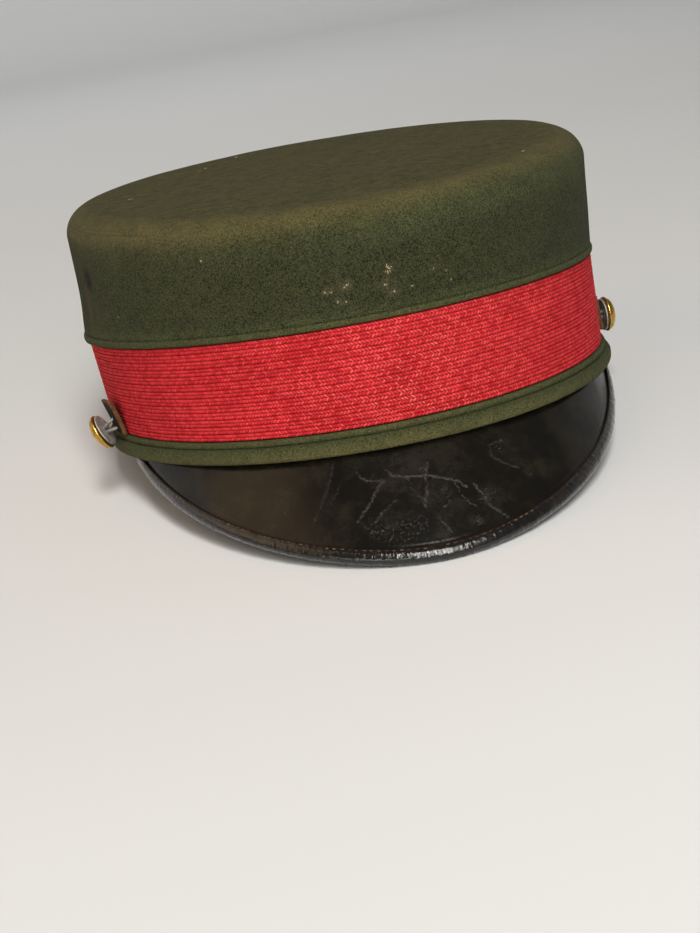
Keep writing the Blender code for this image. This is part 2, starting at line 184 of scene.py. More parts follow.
def share_of(value, low, high):
    return min(max((value - low) / (high - low), 0.0), 1.0)


def eased(share):
    return share * share * (3 - 2 * share)


def between_points(points, value):
    """Straight-line reading of a short table of (place, value) pairs."""
    for (low, first), (high, second) in zip(points, points[1:]):
        if value <= high:
            return first + (second - first) * share_of(value, low, high)
    return points[-1][1]


def bump_at(value, middle, width):
    """A smooth bump of height 1 at the middle that fades out over the width."""
    return math.exp(-((value - middle) / width) ** 2)


def turn_at(step, steps):
    """Angle of a step of a full turn, which closes on itself."""
    return 2 * math.pi * (step % steps) / steps


def from_front(angle):
    """Degrees from the cap's front, from -180 to 180, positive on the viewer's right."""
    return (math.degrees(angle - FRONT) + 180) % 360 - 180


def oval(angle):
    """The band's outline at its lower edge."""
    fullness = 1 + BACK_FULLNESS * math.sin(angle)
    return Vector((HALF_WIDTH * math.cos(angle) * fullness, HALF_LENGTH * math.sin(angle), 0))


def oval_tangent(angle):
    return (oval(angle + 0.001) - oval(angle - 0.001)).normalized()


def oval_normal(angle):
    tangent = oval_tangent(angle)
    return Vector((tangent.y, -tangent.x, 0))


def wall_point(angle, height, outset=0.0, spread=1.0):
    """A point outset from the cap's side wall at that height; spread below 1 draws it to the middle."""
    up_band = share_of(height, 0, BAND_HEIGHT)
    up_crown = share_of(height, BAND_HEIGHT, SHOULDER_FOOT)
    drift = BAND_FLARE * up_band + CROWN_FLARE * up_crown
    point = (oval(angle) + oval_normal(angle) * (outset + drift)) * spread
    slope = CROWN_SLOPE * up_crown * point.y / HALF_LENGTH
    point.x += CROWN_SWAY * up_crown - BAND_SWAY * up_band
    point.y += CROWN_LEAN_BACK * up_crown - BAND_LEAN * up_band
    point.z = height + slope
    return point


def side_frame(angle, height, outset):
    """Frame on the side wall: X outwards, Y forwards along the wall, Z up."""
    outward = oval_normal(angle)
    along = Vector((0, 0, 1)).cross(outward)
    axes = Matrix((outward, along, Vector((0, 0, 1)))).transposed().to_4x4()
    return Matrix.Translation(wall_point(angle, height, outset)) @ axes


def pressed_flat(point):
    """The point, or the place on the floor straight above it if it lies below."""
    pressed = AT_REST @ point
    if pressed.z >= 0:
        return point
    pressed.z = 0
    return AT_REST.inverted() @ pressed


def girth_table(steps=720):
    """Distance round the oval at each of its steps, starting from the viewer's right."""
    lengths = [0.0]
    for step in range(steps):
        here = oval(2 * math.pi * step / steps)
        there = oval(2 * math.pi * (step + 1) / steps)
        lengths.append(lengths[-1] + (there - here).length)
    return lengths


GIRTH = girth_table()


def girth_at(share):
    """Distance round the oval to that share of a full turn."""
    place = share * (len(GIRTH) - 1)
    step = min(int(place), len(GIRTH) - 2)
    return GIRTH[step] + (GIRTH[step + 1] - GIRTH[step]) * (place - step)


def bent_grid(columns, rows, place, cloth=None, painted=None):
    """A flat grid bent into a surface. place(column, row) gives where each corner goes, cloth(column, row)
    its distances on the cloth, and painted holds a value from 0 to 1 for each named layer."""
    bm = bmesh.new()
    bmesh.ops.create_grid(bm, x_segments=columns, y_segments=rows, size=0.5)
    layers = {name: bm.verts.layers.float.new(name) for name in painted or {}}
    corners = {}
    for vert in bm.verts:
        corners[vert] = (round((vert.co.x + 0.5) * columns), round((vert.co.y + 0.5) * rows))
    if cloth:
        unwrapped = bm.loops.layers.uv.new("Cloth")
        for face in bm.faces:
            for loop in face.loops:
                loop[unwrapped].uv = cloth(*corners[loop.vert])
    for vert, (column, row) in corners.items():
        vert.co = place(column, row)
        for name, layer in layers.items():
            vert[layer] = painted[name](column, row)
    return bm


def add_piece(bm, name, material, slot, *nodes):
    """Makes a bmesh in the cap's frame a finished piece that stands for those CAD nodes."""
    bmesh.ops.remove_doubles(bm, verts=bm.verts, dist=WELD)
    bmesh.ops.recalc_face_normals(bm, faces=bm.faces)
    bm.transform(AT_REST)
    mesh = bpy.data.meshes.new(name)
    bm.to_mesh(mesh)
    bm.free()
    mesh.shade_smooth()
    mesh.materials.append(material)
    piece = bpy.data.objects.new(name, mesh)
    bpy.context.scene.collection.objects.link(piece)
    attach(piece, "root")
    if nodes:
        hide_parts(*nodes)
    return piece


def cut_away(piece, cutters):
    """Cuts those bmeshes, in the cap's frame, out of a piece for good."""
    helpers = []
    for bm in cutters:
        bmesh.ops.recalc_face_normals(bm, faces=bm.faces)
        bm.transform(AT_REST)
        mesh = bpy.data.meshes.new(piece.name + "_cut")
        bm.to_mesh(mesh)
        bm.free()
        helper = bpy.data.objects.new(mesh.name, mesh)
        bpy.context.scene.collection.objects.link(helper)
        helpers.append(helper)
        modifier = piece.modifiers.new(mesh.name, "BOOLEAN")
        modifier.operation = "DIFFERENCE"
        modifier.solver = "EXACT"
        modifier.object = helper
    graph = bpy.context.evaluated_depsgraph_get()
    finished = bpy.data.meshes.new_from_object(piece.evaluated_get(graph))
    piece.modifiers.clear()
    piece.data = finished
    for helper in helpers:
        bpy.data.objects.remove(helper)


# Finishes

class Finish:
    """A material whose nodes are added and joined by short calls. Each call returns an output socket."""

    def __init__(self, name, roughness, metallic=0.0, **shader):
        self.material = bpy.data.materials.new(name)
        self.material.use_nodes = True
        self.tree = self.material.node_tree
        self.shader = self.tree.nodes["Principled BSDF"]
        self.shader.inputs["Roughness"].default_value = roughness
        self.shader.inputs["Metallic"].default_value = metallic
        for socket, value in shader.items():
            self.shader.inputs[socket.replace("_", " ")].default_value = value

    def feed(self, socket, value):
        if isinstance(value, bpy.types.NodeSocket):
            self.tree.links.new(value, socket)
        else:
            socket.default_value = value

    def place(self):
        return self.tree.nodes.new("ShaderNodeTexCoord").outputs["Object"]

    def cloth(self):
        made = self.tree.nodes.new("ShaderNodeUVMap")
        made.uv_map = "Cloth"
        return made.outputs["UV"]

    def layer(self, name):
        made = self.tree.nodes.new("ShaderNodeAttribute")
        made.attribute_name = name
        return made.outputs["Fac"]

    def stretched(self, vector, scale, turn=(0, 0, 0)):
        made = self.tree.nodes.new("ShaderNodeMapping")
        self.feed(made.inputs["Vector"], vector)
        made.inputs["Scale"].default_value = scale
        made.inputs["Rotation"].default_value = turn
        return made.outputs["Vector"]

    def noise(self, vector, size, detail=4.0, roughness=0.6, distortion=0.0):
        """Soft noise whose lumps are about that size in metres."""
        made = self.tree.nodes.new("ShaderNodeTexNoise")
        self.feed(made.inputs["Vector"], vector)
        made.inputs["Scale"].default_value = 1 / size
        made.inputs["Detail"].default_value = detail
        made.inputs["Roughness"].default_value = roughness
        made.inputs["Distortion"].default_value = distortion
        return made.outputs["Fac"]

    def cells(self, vector, size, feature="F1", output="Distance"):
        made = self.tree.nodes.new("ShaderNodeTexVoronoi")
        made.feature = feature
        self.feed(made.inputs["Vector"], vector)
        made.inputs["Scale"].default_value = 1 / size
        return made.outputs[output]

    def scatter(self, first, second):
        """A value from 0 to 1 that is the same for the same pair of whole numbers."""
        pair = self.tree.nodes.new("ShaderNodeCombineXYZ")
        self.feed(pair.inputs["X"], first)
        self.feed(pair.inputs["Y"], second)
        made = self.tree.nodes.new("ShaderNodeTexWhiteNoise")
        self.feed(made.inputs["Vector"], pair.outputs["Vector"])
        return made.outputs["Value"]

    def parts(self, vector):
        made = self.tree.nodes.new("ShaderNodeSeparateXYZ")
        self.feed(made.inputs["Vector"], vector)
        return made.outputs["X"], made.outputs["Y"], made.outputs["Z"]

    def reckon(self, operation, first, second=0.0, third=0.0):
        made = self.tree.nodes.new("ShaderNodeMath")
        made.operation = operation
        for socket, value in zip(made.inputs, (first, second, third)):
            self.feed(socket, value)
        return made.outputs["Value"]

    def plus(self, first, second):
        return self.reckon("ADD", first, second)

    def times(self, first, second):
        return self.reckon("MULTIPLY", first, second)

    def scaled(self, value, factor, offset):
        """The value times the factor, plus the offset."""
        return self.reckon("MULTIPLY_ADD", value, factor, offset)

    def between(self, value, low, high, start=0.0, end=1.0):
        """The value's way from low to high, eased and held inside them."""
        made = self.tree.nodes.new("ShaderNodeMapRange")
        made.interpolation_type = "SMOOTHSTEP"
        for name, given in zip(("Value", "From Min", "From Max", "To Min", "To Max"),
                               (value, low, high, start, end)):
            self.feed(made.inputs[name], given)
        return made.outputs["Result"]

    def blend(self, share, first, second):
        made = self.tree.nodes.new("ShaderNodeMix")
        made.data_type = "RGBA"
        made.clamp_factor = True
        self.feed(made.inputs[0], share)
        for socket, value in zip((made.inputs[6], made.inputs[7]), (first, second)):
            self.feed(socket, (*value, 1.0) if isinstance(value, tuple) else value)
        return made.outputs[2]

    def relief(self, height, depth, below=None, strength=1.0):
        """Bump of that depth in metres, added over another."""
        made = self.tree.nodes.new("ShaderNodeBump")
        made.inputs["Strength"].default_value = strength
        made.inputs["Distance"].default_value = depth
        self.feed(made.inputs["Height"], height)
        if below:
            self.feed(made.inputs["Normal"], below)
        return made.outputs["Normal"]

    def finish(self, colour, roughness=None, normal=None, metallic=None):
        self.feed(self.shader.inputs["Base Color"], (*colour, 1.0) if isinstance(colour, tuple) else colour)
        if roughness is not None:
            self.feed(self.shader.inputs["Roughness"], roughness)
        if metallic is not None:
            self.feed(self.shader.inputs["Metallic"], metallic)
        if normal is not None:
            self.feed(self.shader.inputs["Normal"], normal)
        return self.material


def speckle(mix, place, size):
    """Light and dark fibres of felt, from 0 to 1."""
    tufts = mix.noise(place, size, detail=2, roughness=0.8, distortion=1.2)
    threads = mix.noise(place, 0.6 * size, detail=1, roughness=0.6, distortion=0.8)
    return mix.between(mix.scaled(tufts, 0.5, mix.times(threads, 0.5)), 0.37, 0.63)


def felt_colours(mix, place, dark, light, fuzz_depth):
    """Mottled wool felt: its colour from dark to light, its fibres, and the relief of its nap."""
    nap = mix.noise(place, 0.8 * MM, detail=5, roughness=0.75, distortion=0.6)
    clumps = mix.noise(place, 4.0 * MM, detail=4, roughness=0.65)
    clouds = mix.noise(place, 20 * MM, detail=3)
    fibres = speckle(mix, place, 0.55 * MM)
    fine = mix.scaled(fibres, 0.55, mix.times(nap, 0.30))
    broad = mix.scaled(clumps, 0.24, mix.times(clouds, 0.18))
    colour = mix.blend(mix.between(mix.plus(fine, broad), 0.32, 0.96), dark, light)
    normal = mix.relief(clumps, 0.4 * MM, strength=0.35)
    normal = mix.relief(mix.scaled(fibres, 0.35, nap), fuzz_depth, normal, strength=0.9)
    return colour, fibres, normal


def worn_nap(mix, fibres, dark, light):
    """Colour of rubbed felt, in which single threads show."""
    return mix.blend(fibres, dark, light)


def crown_felt():
    mix = Finish("crown_felt_worn", 0.95, Sheen_Weight=0.03, Sheen_Roughness=0.5,
                 Sheen_Tint=(0.62, 0.68, 0.42, 1.0), Specular_IOR_Level=0.15)
    place = mix.place()
    dark, light = (0.005, 0.007, 0.003), (0.058, 0.061, 0.026)
    colour, fibres, normal = felt_colours(mix, place, dark, light, 0.38 * MM)
    cloudy = mix.between(mix.noise(place, 7 * MM, detail=5, roughness=0.7), 0.3, 0.7)
    stroked = mix.stretched(place, (0.45, 1.0, 1.0), (0.0, 0.0, 0.5))
    brushed = mix.noise(stroked, 1.4 * MM, detail=4, roughness=0.85)
    brushed = mix.between(mix.scaled(brushed, 0.8, mix.times(fibres, 0.2)), 0.34, 0.66)
    top_colour = mix.blend(brushed, mix.blend(cloudy, (0.010, 0.011, 0.003), (0.026, 0.022, 0.006)),
                           mix.blend(cloudy, (0.068, 0.064, 0.022), (0.104, 0.088, 0.035)))
    colour = mix.blend(mix.times(mix.layer("top"), 0.95), colour, top_colour)
    patchy = mix.between(mix.noise(place, 8 * MM, detail=6, roughness=0.72), 0.30, 0.66)
    worn = mix.times(mix.layer("worn"), mix.scaled(patchy, 0.45, 0.55))
    colour = mix.blend(worn, colour, worn_nap(mix, fibres, (0.048, 0.041, 0.014), (0.138, 0.114, 0.046)))
    green = mix.times(mix.layer("faded"), mix.scaled(patchy, 0.6, 0.4))
    colour = mix.blend(green, colour, worn_nap(mix, fibres, (0.022, 0.029, 0.010), (0.096, 0.104, 0.043)))
    # Painted shade: the felt darkens along each crease
    colour = mix.blend(mix.times(mix.layer("shaded_crease"), 0.55), colour, (0.020, 0.018, 0.008))
    colour = mix.blend(mix.times(mix.layer("rust"), 0.6), colour, (0.078, 0.046, 0.020))
    frayed = mix.between(mix.noise(place, 0.9 * MM, detail=4, roughness=0.8), 0.42, 0.62, 0.15, 1.0)
    colour = mix.blend(mix.times(mix.layer("frayed"), frayed), colour, (0.190, 0.145, 0.095))
    # Near-black painted shade round each vent hole
    colour = mix.blend(mix.layer("vent_shade"), colour, (0.004, 0.004, 0.003))
    normal = mix.relief(mix.reckon("SUBTRACT", 1.0, mix.layer("shaded_crease")), 0.12 * MM, normal, strength=0.6)
    return mix.finish(colour, normal=normal)


def trim_felt():
    mix = Finish("trim_felt_worn", 0.95, Sheen_Weight=0.03, Sheen_Roughness=0.5,
                 Sheen_Tint=(0.62, 0.68, 0.42, 1.0), Specular_IOR_Level=0.15)
    place = mix.place()
    dark, light = (0.008, 0.014, 0.004), (0.056, 0.064, 0.026)
    colour, fibres, normal = felt_colours(mix, place, dark, light, 0.36 * MM)
    patchy = mix.between(mix.noise(place, 6 * MM, detail=5, roughness=0.7), 0.25, 0.7)
    worn = mix.times(mix.layer("worn"), mix.scaled(patchy, 0.5, 0.5))
    colour = mix.blend(worn, colour, worn_nap(mix, fibres, (0.050, 0.048, 0.016), (0.160, 0.146, 0.060)))
    return mix.finish(colour, normal=normal)


def speck_fibre():
    mix = Finish("frayed_fibre_pale", 0.9, Specular_IOR_Level=0.15)
    colour = mix.blend(mix.noise(mix.place(), 1.5 * MM, detail=3), (0.12, 0.090, 0.045), (0.58, 0.49, 0.31))
    return mix.finish(colour)


def band_braid():
    """Flat braid: in each rib two rows of slanted stitches meet at a fold in the middle."""
    mix = Finish("band_braid_red", 0.85, Specular_IOR_Level=0.12)
    place = mix.place()
    along, up, _ = mix.parts(mix.cloth())
    uneven = mix.scaled(mix.noise(place, 2.2 * MM, detail=3), 0.10, -0.05)
    up = mix.plus(up, uneven)
    from_fold = mix.times(mix.reckon("ABSOLUTE", mix.reckon("SUBTRACT", mix.reckon("FRACT", up), 0.5)), 2.0)
    shift = mix.reckon("FRACT", mix.times(mix.reckon("FLOOR", up), 0.37))
    wander = mix.times(mix.noise(place, 3 * MM, detail=3), 0.7)
    slant = mix.times(from_fold, 0.85)
    turns = mix.plus(mix.scaled(along, 1 / 1.05, shift), mix.plus(slant, wander))
    stitch = mix.reckon("ABSOLUTE", mix.reckon("SINE", mix.times(turns, math.pi)))
    own = mix.scatter(mix.reckon("FLOOR", turns), mix.reckon("FLOOR", mix.times(up, 2.0)))
    crest = mix.between(stitch, 0.15, 0.95)
    fold = mix.between(from_fold, 0.0, 0.28, 0.25, 1.0)
    valley = mix.between(from_fold, 1.0, 0.74)
    relief = mix.times(mix.scaled(crest, 0.7, 0.3), mix.times(fold, valley))
    yarn = mix.noise(place, 0.42 * MM, detail=4, roughness=0.8)
    clouds = mix.noise(place, 14 * MM, detail=4)
    tone = mix.scaled(clouds, 0.35, mix.scaled(yarn, 0.55, mix.times(own, 0.30)))
    red = mix.blend(mix.between(tone, 0.35, 0.85), (0.42, 0.010, 0.017), (0.80, 0.044, 0.054))
    # Painted shade: the braid darkens in the grooves at each rib's fold and between the ribs
    red = mix.blend(mix.scaled(relief, 0.80, 0.20), (0.30, 0.006, 0.011), red)
    # Pale flecks on the stitch crests are a painted highlight, strongest at the front, which faces the light
    lit_thread = mix.between(mix.noise(place, 0.9 * MM, detail=3, roughness=0.8), 0.42, 0.64)
    stitch_highlight = mix.times(mix.between(own, 0.05, 0.85, 0.25, 1.0), lit_thread)
    stitch_highlight = mix.times(stitch_highlight, mix.between(stitch, 0.45, 1.0))
    stitch_highlight = mix.times(mix.times(stitch_highlight, crest),
                     mix.between(mix.noise(place, 24 * MM, detail=5, roughness=0.7), 0.36, 0.66, 0.45, 1.0))
    colour = mix.blend(mix.times(stitch_highlight, mix.between(mix.layer("lit_front"), 0.0, 1.0, 0.12, 0.60)),
                       red, (0.95, 0.33, 0.25))
    normal = mix.relief(relief, 0.26 * MM, strength=0.9)
    normal = mix.relief(yarn, 0.14 * MM, normal, strength=0.8)
    return mix.finish(colour, normal=normal)


def peak_leather():
    """Patent leather: a clear coat over black, with a haze of fine rubbing, scratches, and scuffs painted
    paler with glints.
    """
    mix = Finish("peak_leather_patent", 0.3, Coat_Weight=0.10, Coat_Roughness=0.16,
                 Specular_IOR_Level=0.20)
    place = mix.place()
    grain = mix.noise(place, 1.2 * MM, detail=5, roughness=0.65)
    swell = mix.noise(place, 22 * MM, detail=2)
    haze = mix.between(mix.noise(place, 10 * MM, detail=7, roughness=0.75), 0.40, 0.72)
    wiped = mix.stretched(place, (1.0, 0.25, 0.25), (0.0, 0.0, 0.6))
    fine = mix.noise(wiped, 0.5 * MM, detail=5, roughness=0.8)
    broken = mix.between(mix.noise(place, 0.8 * MM, detail=5, roughness=0.85), 0.42, 0.64)
    scratch = mix.times(mix.layer("scratch"), mix.scaled(broken, 0.90, 0.10))
    glints = mix.between(mix.noise(place, 0.7 * MM, detail=4, roughness=0.8), 0.53, 0.68)
    scuff_and_glint = mix.times(mix.layer("scuff_and_glint"), glints)
    colour = mix.blend(haze, (0.0055, 0.0048, 0.0036), (0.0150, 0.0121, 0.0081))
    # Scuffs are dull rubbed leather, painted paler grey in sparse points as glints
    colour = mix.blend(mix.times(scuff_and_glint, 0.8), colour, (0.080, 0.077, 0.068))
    colour = mix.blend(mix.times(scratch, 0.80), colour, (0.075, 0.072, 0.064))
    roughness = mix.scaled(haze, 0.08, mix.scaled(fine, 0.14, 0.10))
    roughness = mix.plus(roughness, mix.times(mix.plus(scratch, scuff_and_glint), 0.25))
    normal = mix.relief(swell, 1.0 * MM, strength=0.30)
    normal = mix.relief(grain, 0.07 * MM, normal, strength=0.7)
    normal = mix.relief(fine, 0.03 * MM, normal, strength=0.8)
    normal = mix.relief(mix.plus(scratch, scuff_and_glint), 0.12 * MM, normal, strength=0.7)
    mix.feed(mix.shader.inputs["Coat Roughness"], mix.times(roughness, 0.7))
    mix.feed(mix.shader.inputs["Coat Normal"], normal)
    return mix.finish(colour, roughness, normal)


def underside_leather():
    mix = Finish("peak_underside_leather", 0.55, Specular_IOR_Level=0.4)
    place = mix.place()
    haze = mix.noise(place, 11 * MM, detail=5)
    colour = mix.blend(haze, (0.010, 0.009, 0.008), (0.022, 0.017, 0.012))
    normal = mix.relief(mix.cells(place, 1.1 * MM), 0.12 * MM, strength=0.5)
    return mix.finish(colour, normal=normal)


def binding_leather():
    """Thin glossy leather drawn over the edge, with crinkles across it."""
    mix = Finish("binding_leather_black", 0.22, Coat_Weight=1.0, Coat_Roughness=0.06,
                 Specular_IOR_Level=0.12)
    place = mix.place()
    worn = mix.between(mix.noise(place, 2.6 * MM, detail=6, roughness=0.75), 0.50, 0.74)
    colour = mix.blend(mix.times(worn, 0.6), (0.005, 0.0045, 0.004), (0.050, 0.032, 0.016))
    drawn = mix.stretched(mix.cloth(), (1.0, 0.30, 1.0))
    crinkle = mix.noise(drawn, 0.75, detail=3, roughness=0.6, distortion=0.6)
    pleat = mix.noise(mix.stretched(mix.cloth(), (1.0, 0.12, 1.0)), 2.6, detail=2, distortion=0.4)
    normal = mix.relief(pleat, 0.30 * MM, strength=0.5)
    normal = mix.relief(crinkle, 0.20 * MM, normal, strength=0.7)
    mix.feed(mix.shader.inputs["Coat Normal"], normal)
    return mix.finish(colour, mix.between(worn, 0.0, 1.0, 0.30, 0.6), normal)


def stitch_thread():
    mix = Finish("binding_stitch_thread", 0.8, Specular_IOR_Level=0.2)
    place = mix.place()
    soiled = mix.between(mix.noise(place, 4 * MM, detail=5), 0.38, 0.62)
    colour = mix.blend(soiled, (0.016, 0.011, 0.007), (0.115, 0.085, 0.055))
    return mix.finish(colour, normal=mix.relief(mix.noise(place, 0.3 * MM), 0.08 * MM))


def tab_leather():
    mix = Finish("tab_leather_dark", 0.8, Specular_IOR_Level=0.12)
    place = mix.place()
    grain = mix.noise(place, 0.8 * MM, detail=5, roughness=0.7)
    face = mix.blend(mix.noise(place, 4 * MM, detail=4), (0.007, 0.007, 0.005), (0.022, 0.020, 0.012))
    edge = mix.blend(mix.between(grain, 0.3, 0.7), (0.040, 0.019, 0.009), (0.170, 0.076, 0.032))
    colour = mix.blend(mix.layer("raw_edge"), face, edge)
    normal = mix.relief(grain, 0.18 * MM, strength=0.7)
    return mix.finish(colour, normal=normal)


def button_brass():
    mix = Finish("button_brass_aged", 0.25, metallic=1.0)
    place = mix.place()
    patina = mix.between(mix.noise(place, 2.2 * MM, detail=6, roughness=0.7), 0.42, 0.70)
    in_rim = mix.layer("rim")
    dull = mix.reckon("MAXIMUM", mix.times(patina, 0.55), mix.times(in_rim, 0.75))
    colour = mix.blend(dull, (0.72, 0.45, 0.10), (0.20, 0.095, 0.022))
    scratches = mix.noise(mix.stretched(place, (1.0, 0.12, 1.0), (0.3, 0.8, 0.5)), 0.4 * MM, detail=3)
    roughness = mix.scaled(scratches, 0.16, mix.scaled(dull, 0.22, 0.14))
    return mix.finish(colour, roughness, mix.relief(patina, 0.05 * MM, strength=0.5))


def button_steel():
    mix = Finish("button_steel_aged", 0.4, metallic=0.55)
    place = mix.place()
    spots = mix.between(mix.noise(place, 1.6 * MM, detail=6, roughness=0.7), 0.45, 0.66)
    colour = mix.blend(spots, (0.46, 0.46, 0.43), (0.22, 0.20, 0.15))
    roughness = mix.between(spots, 0.0, 1.0, 0.45, 0.65)
    return mix.finish(colour, roughness, mix.relief(spots, 0.06 * MM, strength=0.6))


# Crown

def shoulder(radius, outset, steps):
    """Rows round the shoulder, from the side wall to the edge of the top."""
    rows = []
    for step in range(steps + 1):
        turn = math.pi / 2 * step / steps
        height = SHOULDER_FOOT + radius * math.sin(turn)
        rows.append((height, outset - radius + radius * math.cos(turn), 1.0))
    return rows


def top_rows(height, inset, steps):
    """Rows over the top, which rises softly to its flat middle."""
    rows = []
    for step in range(1, steps + 1):
        spread = 1 - step / steps
        rise = TOP_DOME * eased(share_of(1 - spread, 0, 1 - TOP_FLAT_SHARE))
        rows.append((height + rise, inset, spread))
    return rows


def crown_profile():
    """How many rows are tucked behind the band, the outer rows of (height, outset, spread) up to the middle
    of the top, and those with the inner ones after them."""
    tuck = BAND_THICKNESS + CLEARANCE
    foot = ROLL_BOTTOM + ROLL_COVER
    rows = [(foot, -tuck, 1.0), (0.0, -tuck, 1.0), (BAND_HEIGHT, -tuck, 1.0), (CROWN_FOOT, -tuck, 1.0)]
    tucked = len(rows)
    for step in range(LIP_STEPS + 1):
        turn = math.pi / 2 * step / LIP_STEPS
        rows.append((CROWN_FOOT + LIP_RISE * (1 - math.cos(turn)), LIP_INSET * (math.sin(turn) - 1), 1.0))
    side_foot = CROWN_FOOT + LIP_RISE
    for step in range(1, CROWN_SIDE_STEPS):
        rows.append((side_foot + (SHOULDER_FOOT - side_foot) * step / CROWN_SIDE_STEPS, 0.0, 1.0))
    rows += shoulder(SHOULDER_RADIUS, 0.0, SHOULDER_STEPS)
    rows += top_rows(CROWN_TOP, -SHOULDER_RADIUS, TOP_STEPS)
    inner = [
        (foot, -tuck - FELT, 1.0),
        (0.0, -tuck - FELT, 1.0),
        (BAND_HEIGHT, -tuck - FELT, 1.0),
        (CROWN_FOOT - STEP_BELOW, -tuck - FELT, 1.0),
        (CROWN_FOOT + STEP_ABOVE, -FELT, 1.0),
    ]
    inner += shoulder(SHOULDER_RADIUS - FELT, -FELT, INNER_SHOULDER_STEPS)
    inner += top_rows(CROWN_TOP - FELT, -SHOULDER_RADIUS, INNER_TOP_STEPS)
    return tucked, rows, rows + inner[::-1]


# Degrees up the turn of the shoulder where the felt is rubbed most, by degrees from the front
RIDGE = ((-180, 45), (-83, 36), (-45, 38), (-15, 50), (5, 58), (31, 66), (60, 56), (100, 45), (180, 45))

# How faded the side is under the shoulder, by degrees from the front
FADING = ((-180, 0.3), (-60, 0.15), (-20, 0.30), (10, 0.60), (60, 0.55), (180, 0.3))

# Fine creases along the shoulder, dented by bump and painted darker as shade: degrees from the front where
# each starts and ends, millimetres above the ridge, depth from 0 to 1
CREASES = (
    (-99, -42, 0.0, 0.7), (-92, -52, 1.3, 0.5), (-96, -60, -1.2, 0.45), (-90, -64, 2.5, 0.35),
    (43, 66, 0.2, 0.6), (48, 62, -1.0, 0.4), (46, 60, 1.3, 0.35),
)

# How far towards the front the painted shade round each vent lies
VENT_SHADE_SHIFT = math.radians(2.2)

# Rubbed pale places on the crown's side: degrees from the front, height, radius in millimetres, strength
SMEARS = (
    (-7.9, 44.6, 1.7, 0.85), (-11.6, 43.4, 1.5, 0.45), (-9.3, 38.9, 1.5, 0.35), (-0.2, 43.0, 1.6, 0.40),
    (0.8, 39.4, 1.8, 0.55), (0.4, 48.2, 1.4, 0.50), (9.8, 45.0, 2.2, 0.20),
)

# Frayed pinholes and lint on the crown's side: degrees from the front, height, size in millimetres
SIDE_SPECKS = (
    (-12.0, 43.6, 0.28), (-10.9, 43.2, 0.22), (-7.7, 44.8, 0.30), (-8.3, 44.2, 0.24), (-9.9, 39.2, 0.26),
    (-8.3, 38.7, 0.28), (0.5, 48.4, 0.62), (0.1, 46.9, 0.26), (-0.4, 42.4, 0.28), (1.1, 39.2, 0.30),
    (4.8, 39.7, 0.24), (10.6, 49.1, 0.26), (9.4, 44.6, 0.26), (12.0, 43.0, 0.30), (12.9, 38.9, 0.26),
    (-35.6, 60.5, 0.24), (-61.9, 40.9, 0.24),
)

# Lint on the top: degrees from the front, share of the way out from the middle, size in millimetres
TOP_SPECKS = (
    (-90.5, 0.814, 0.35), (-162.4, 0.839, 0.45), (-144.5, 0.718, 0.30), (-138.8, 0.691, 0.30),
    (44.6, 0.99, 0.35), (-56.0, 0.42, 0.22), (-73.7, 0.38, 0.22),
)


def left_flare(angle, height):
    """Millimetres that the felt's lower edge has sprung outwards on the viewer's left."""
    return 0.9 * bump_at(from_front(angle), -88, 34) * bump_at(height / MM, 31.5, 8.0)


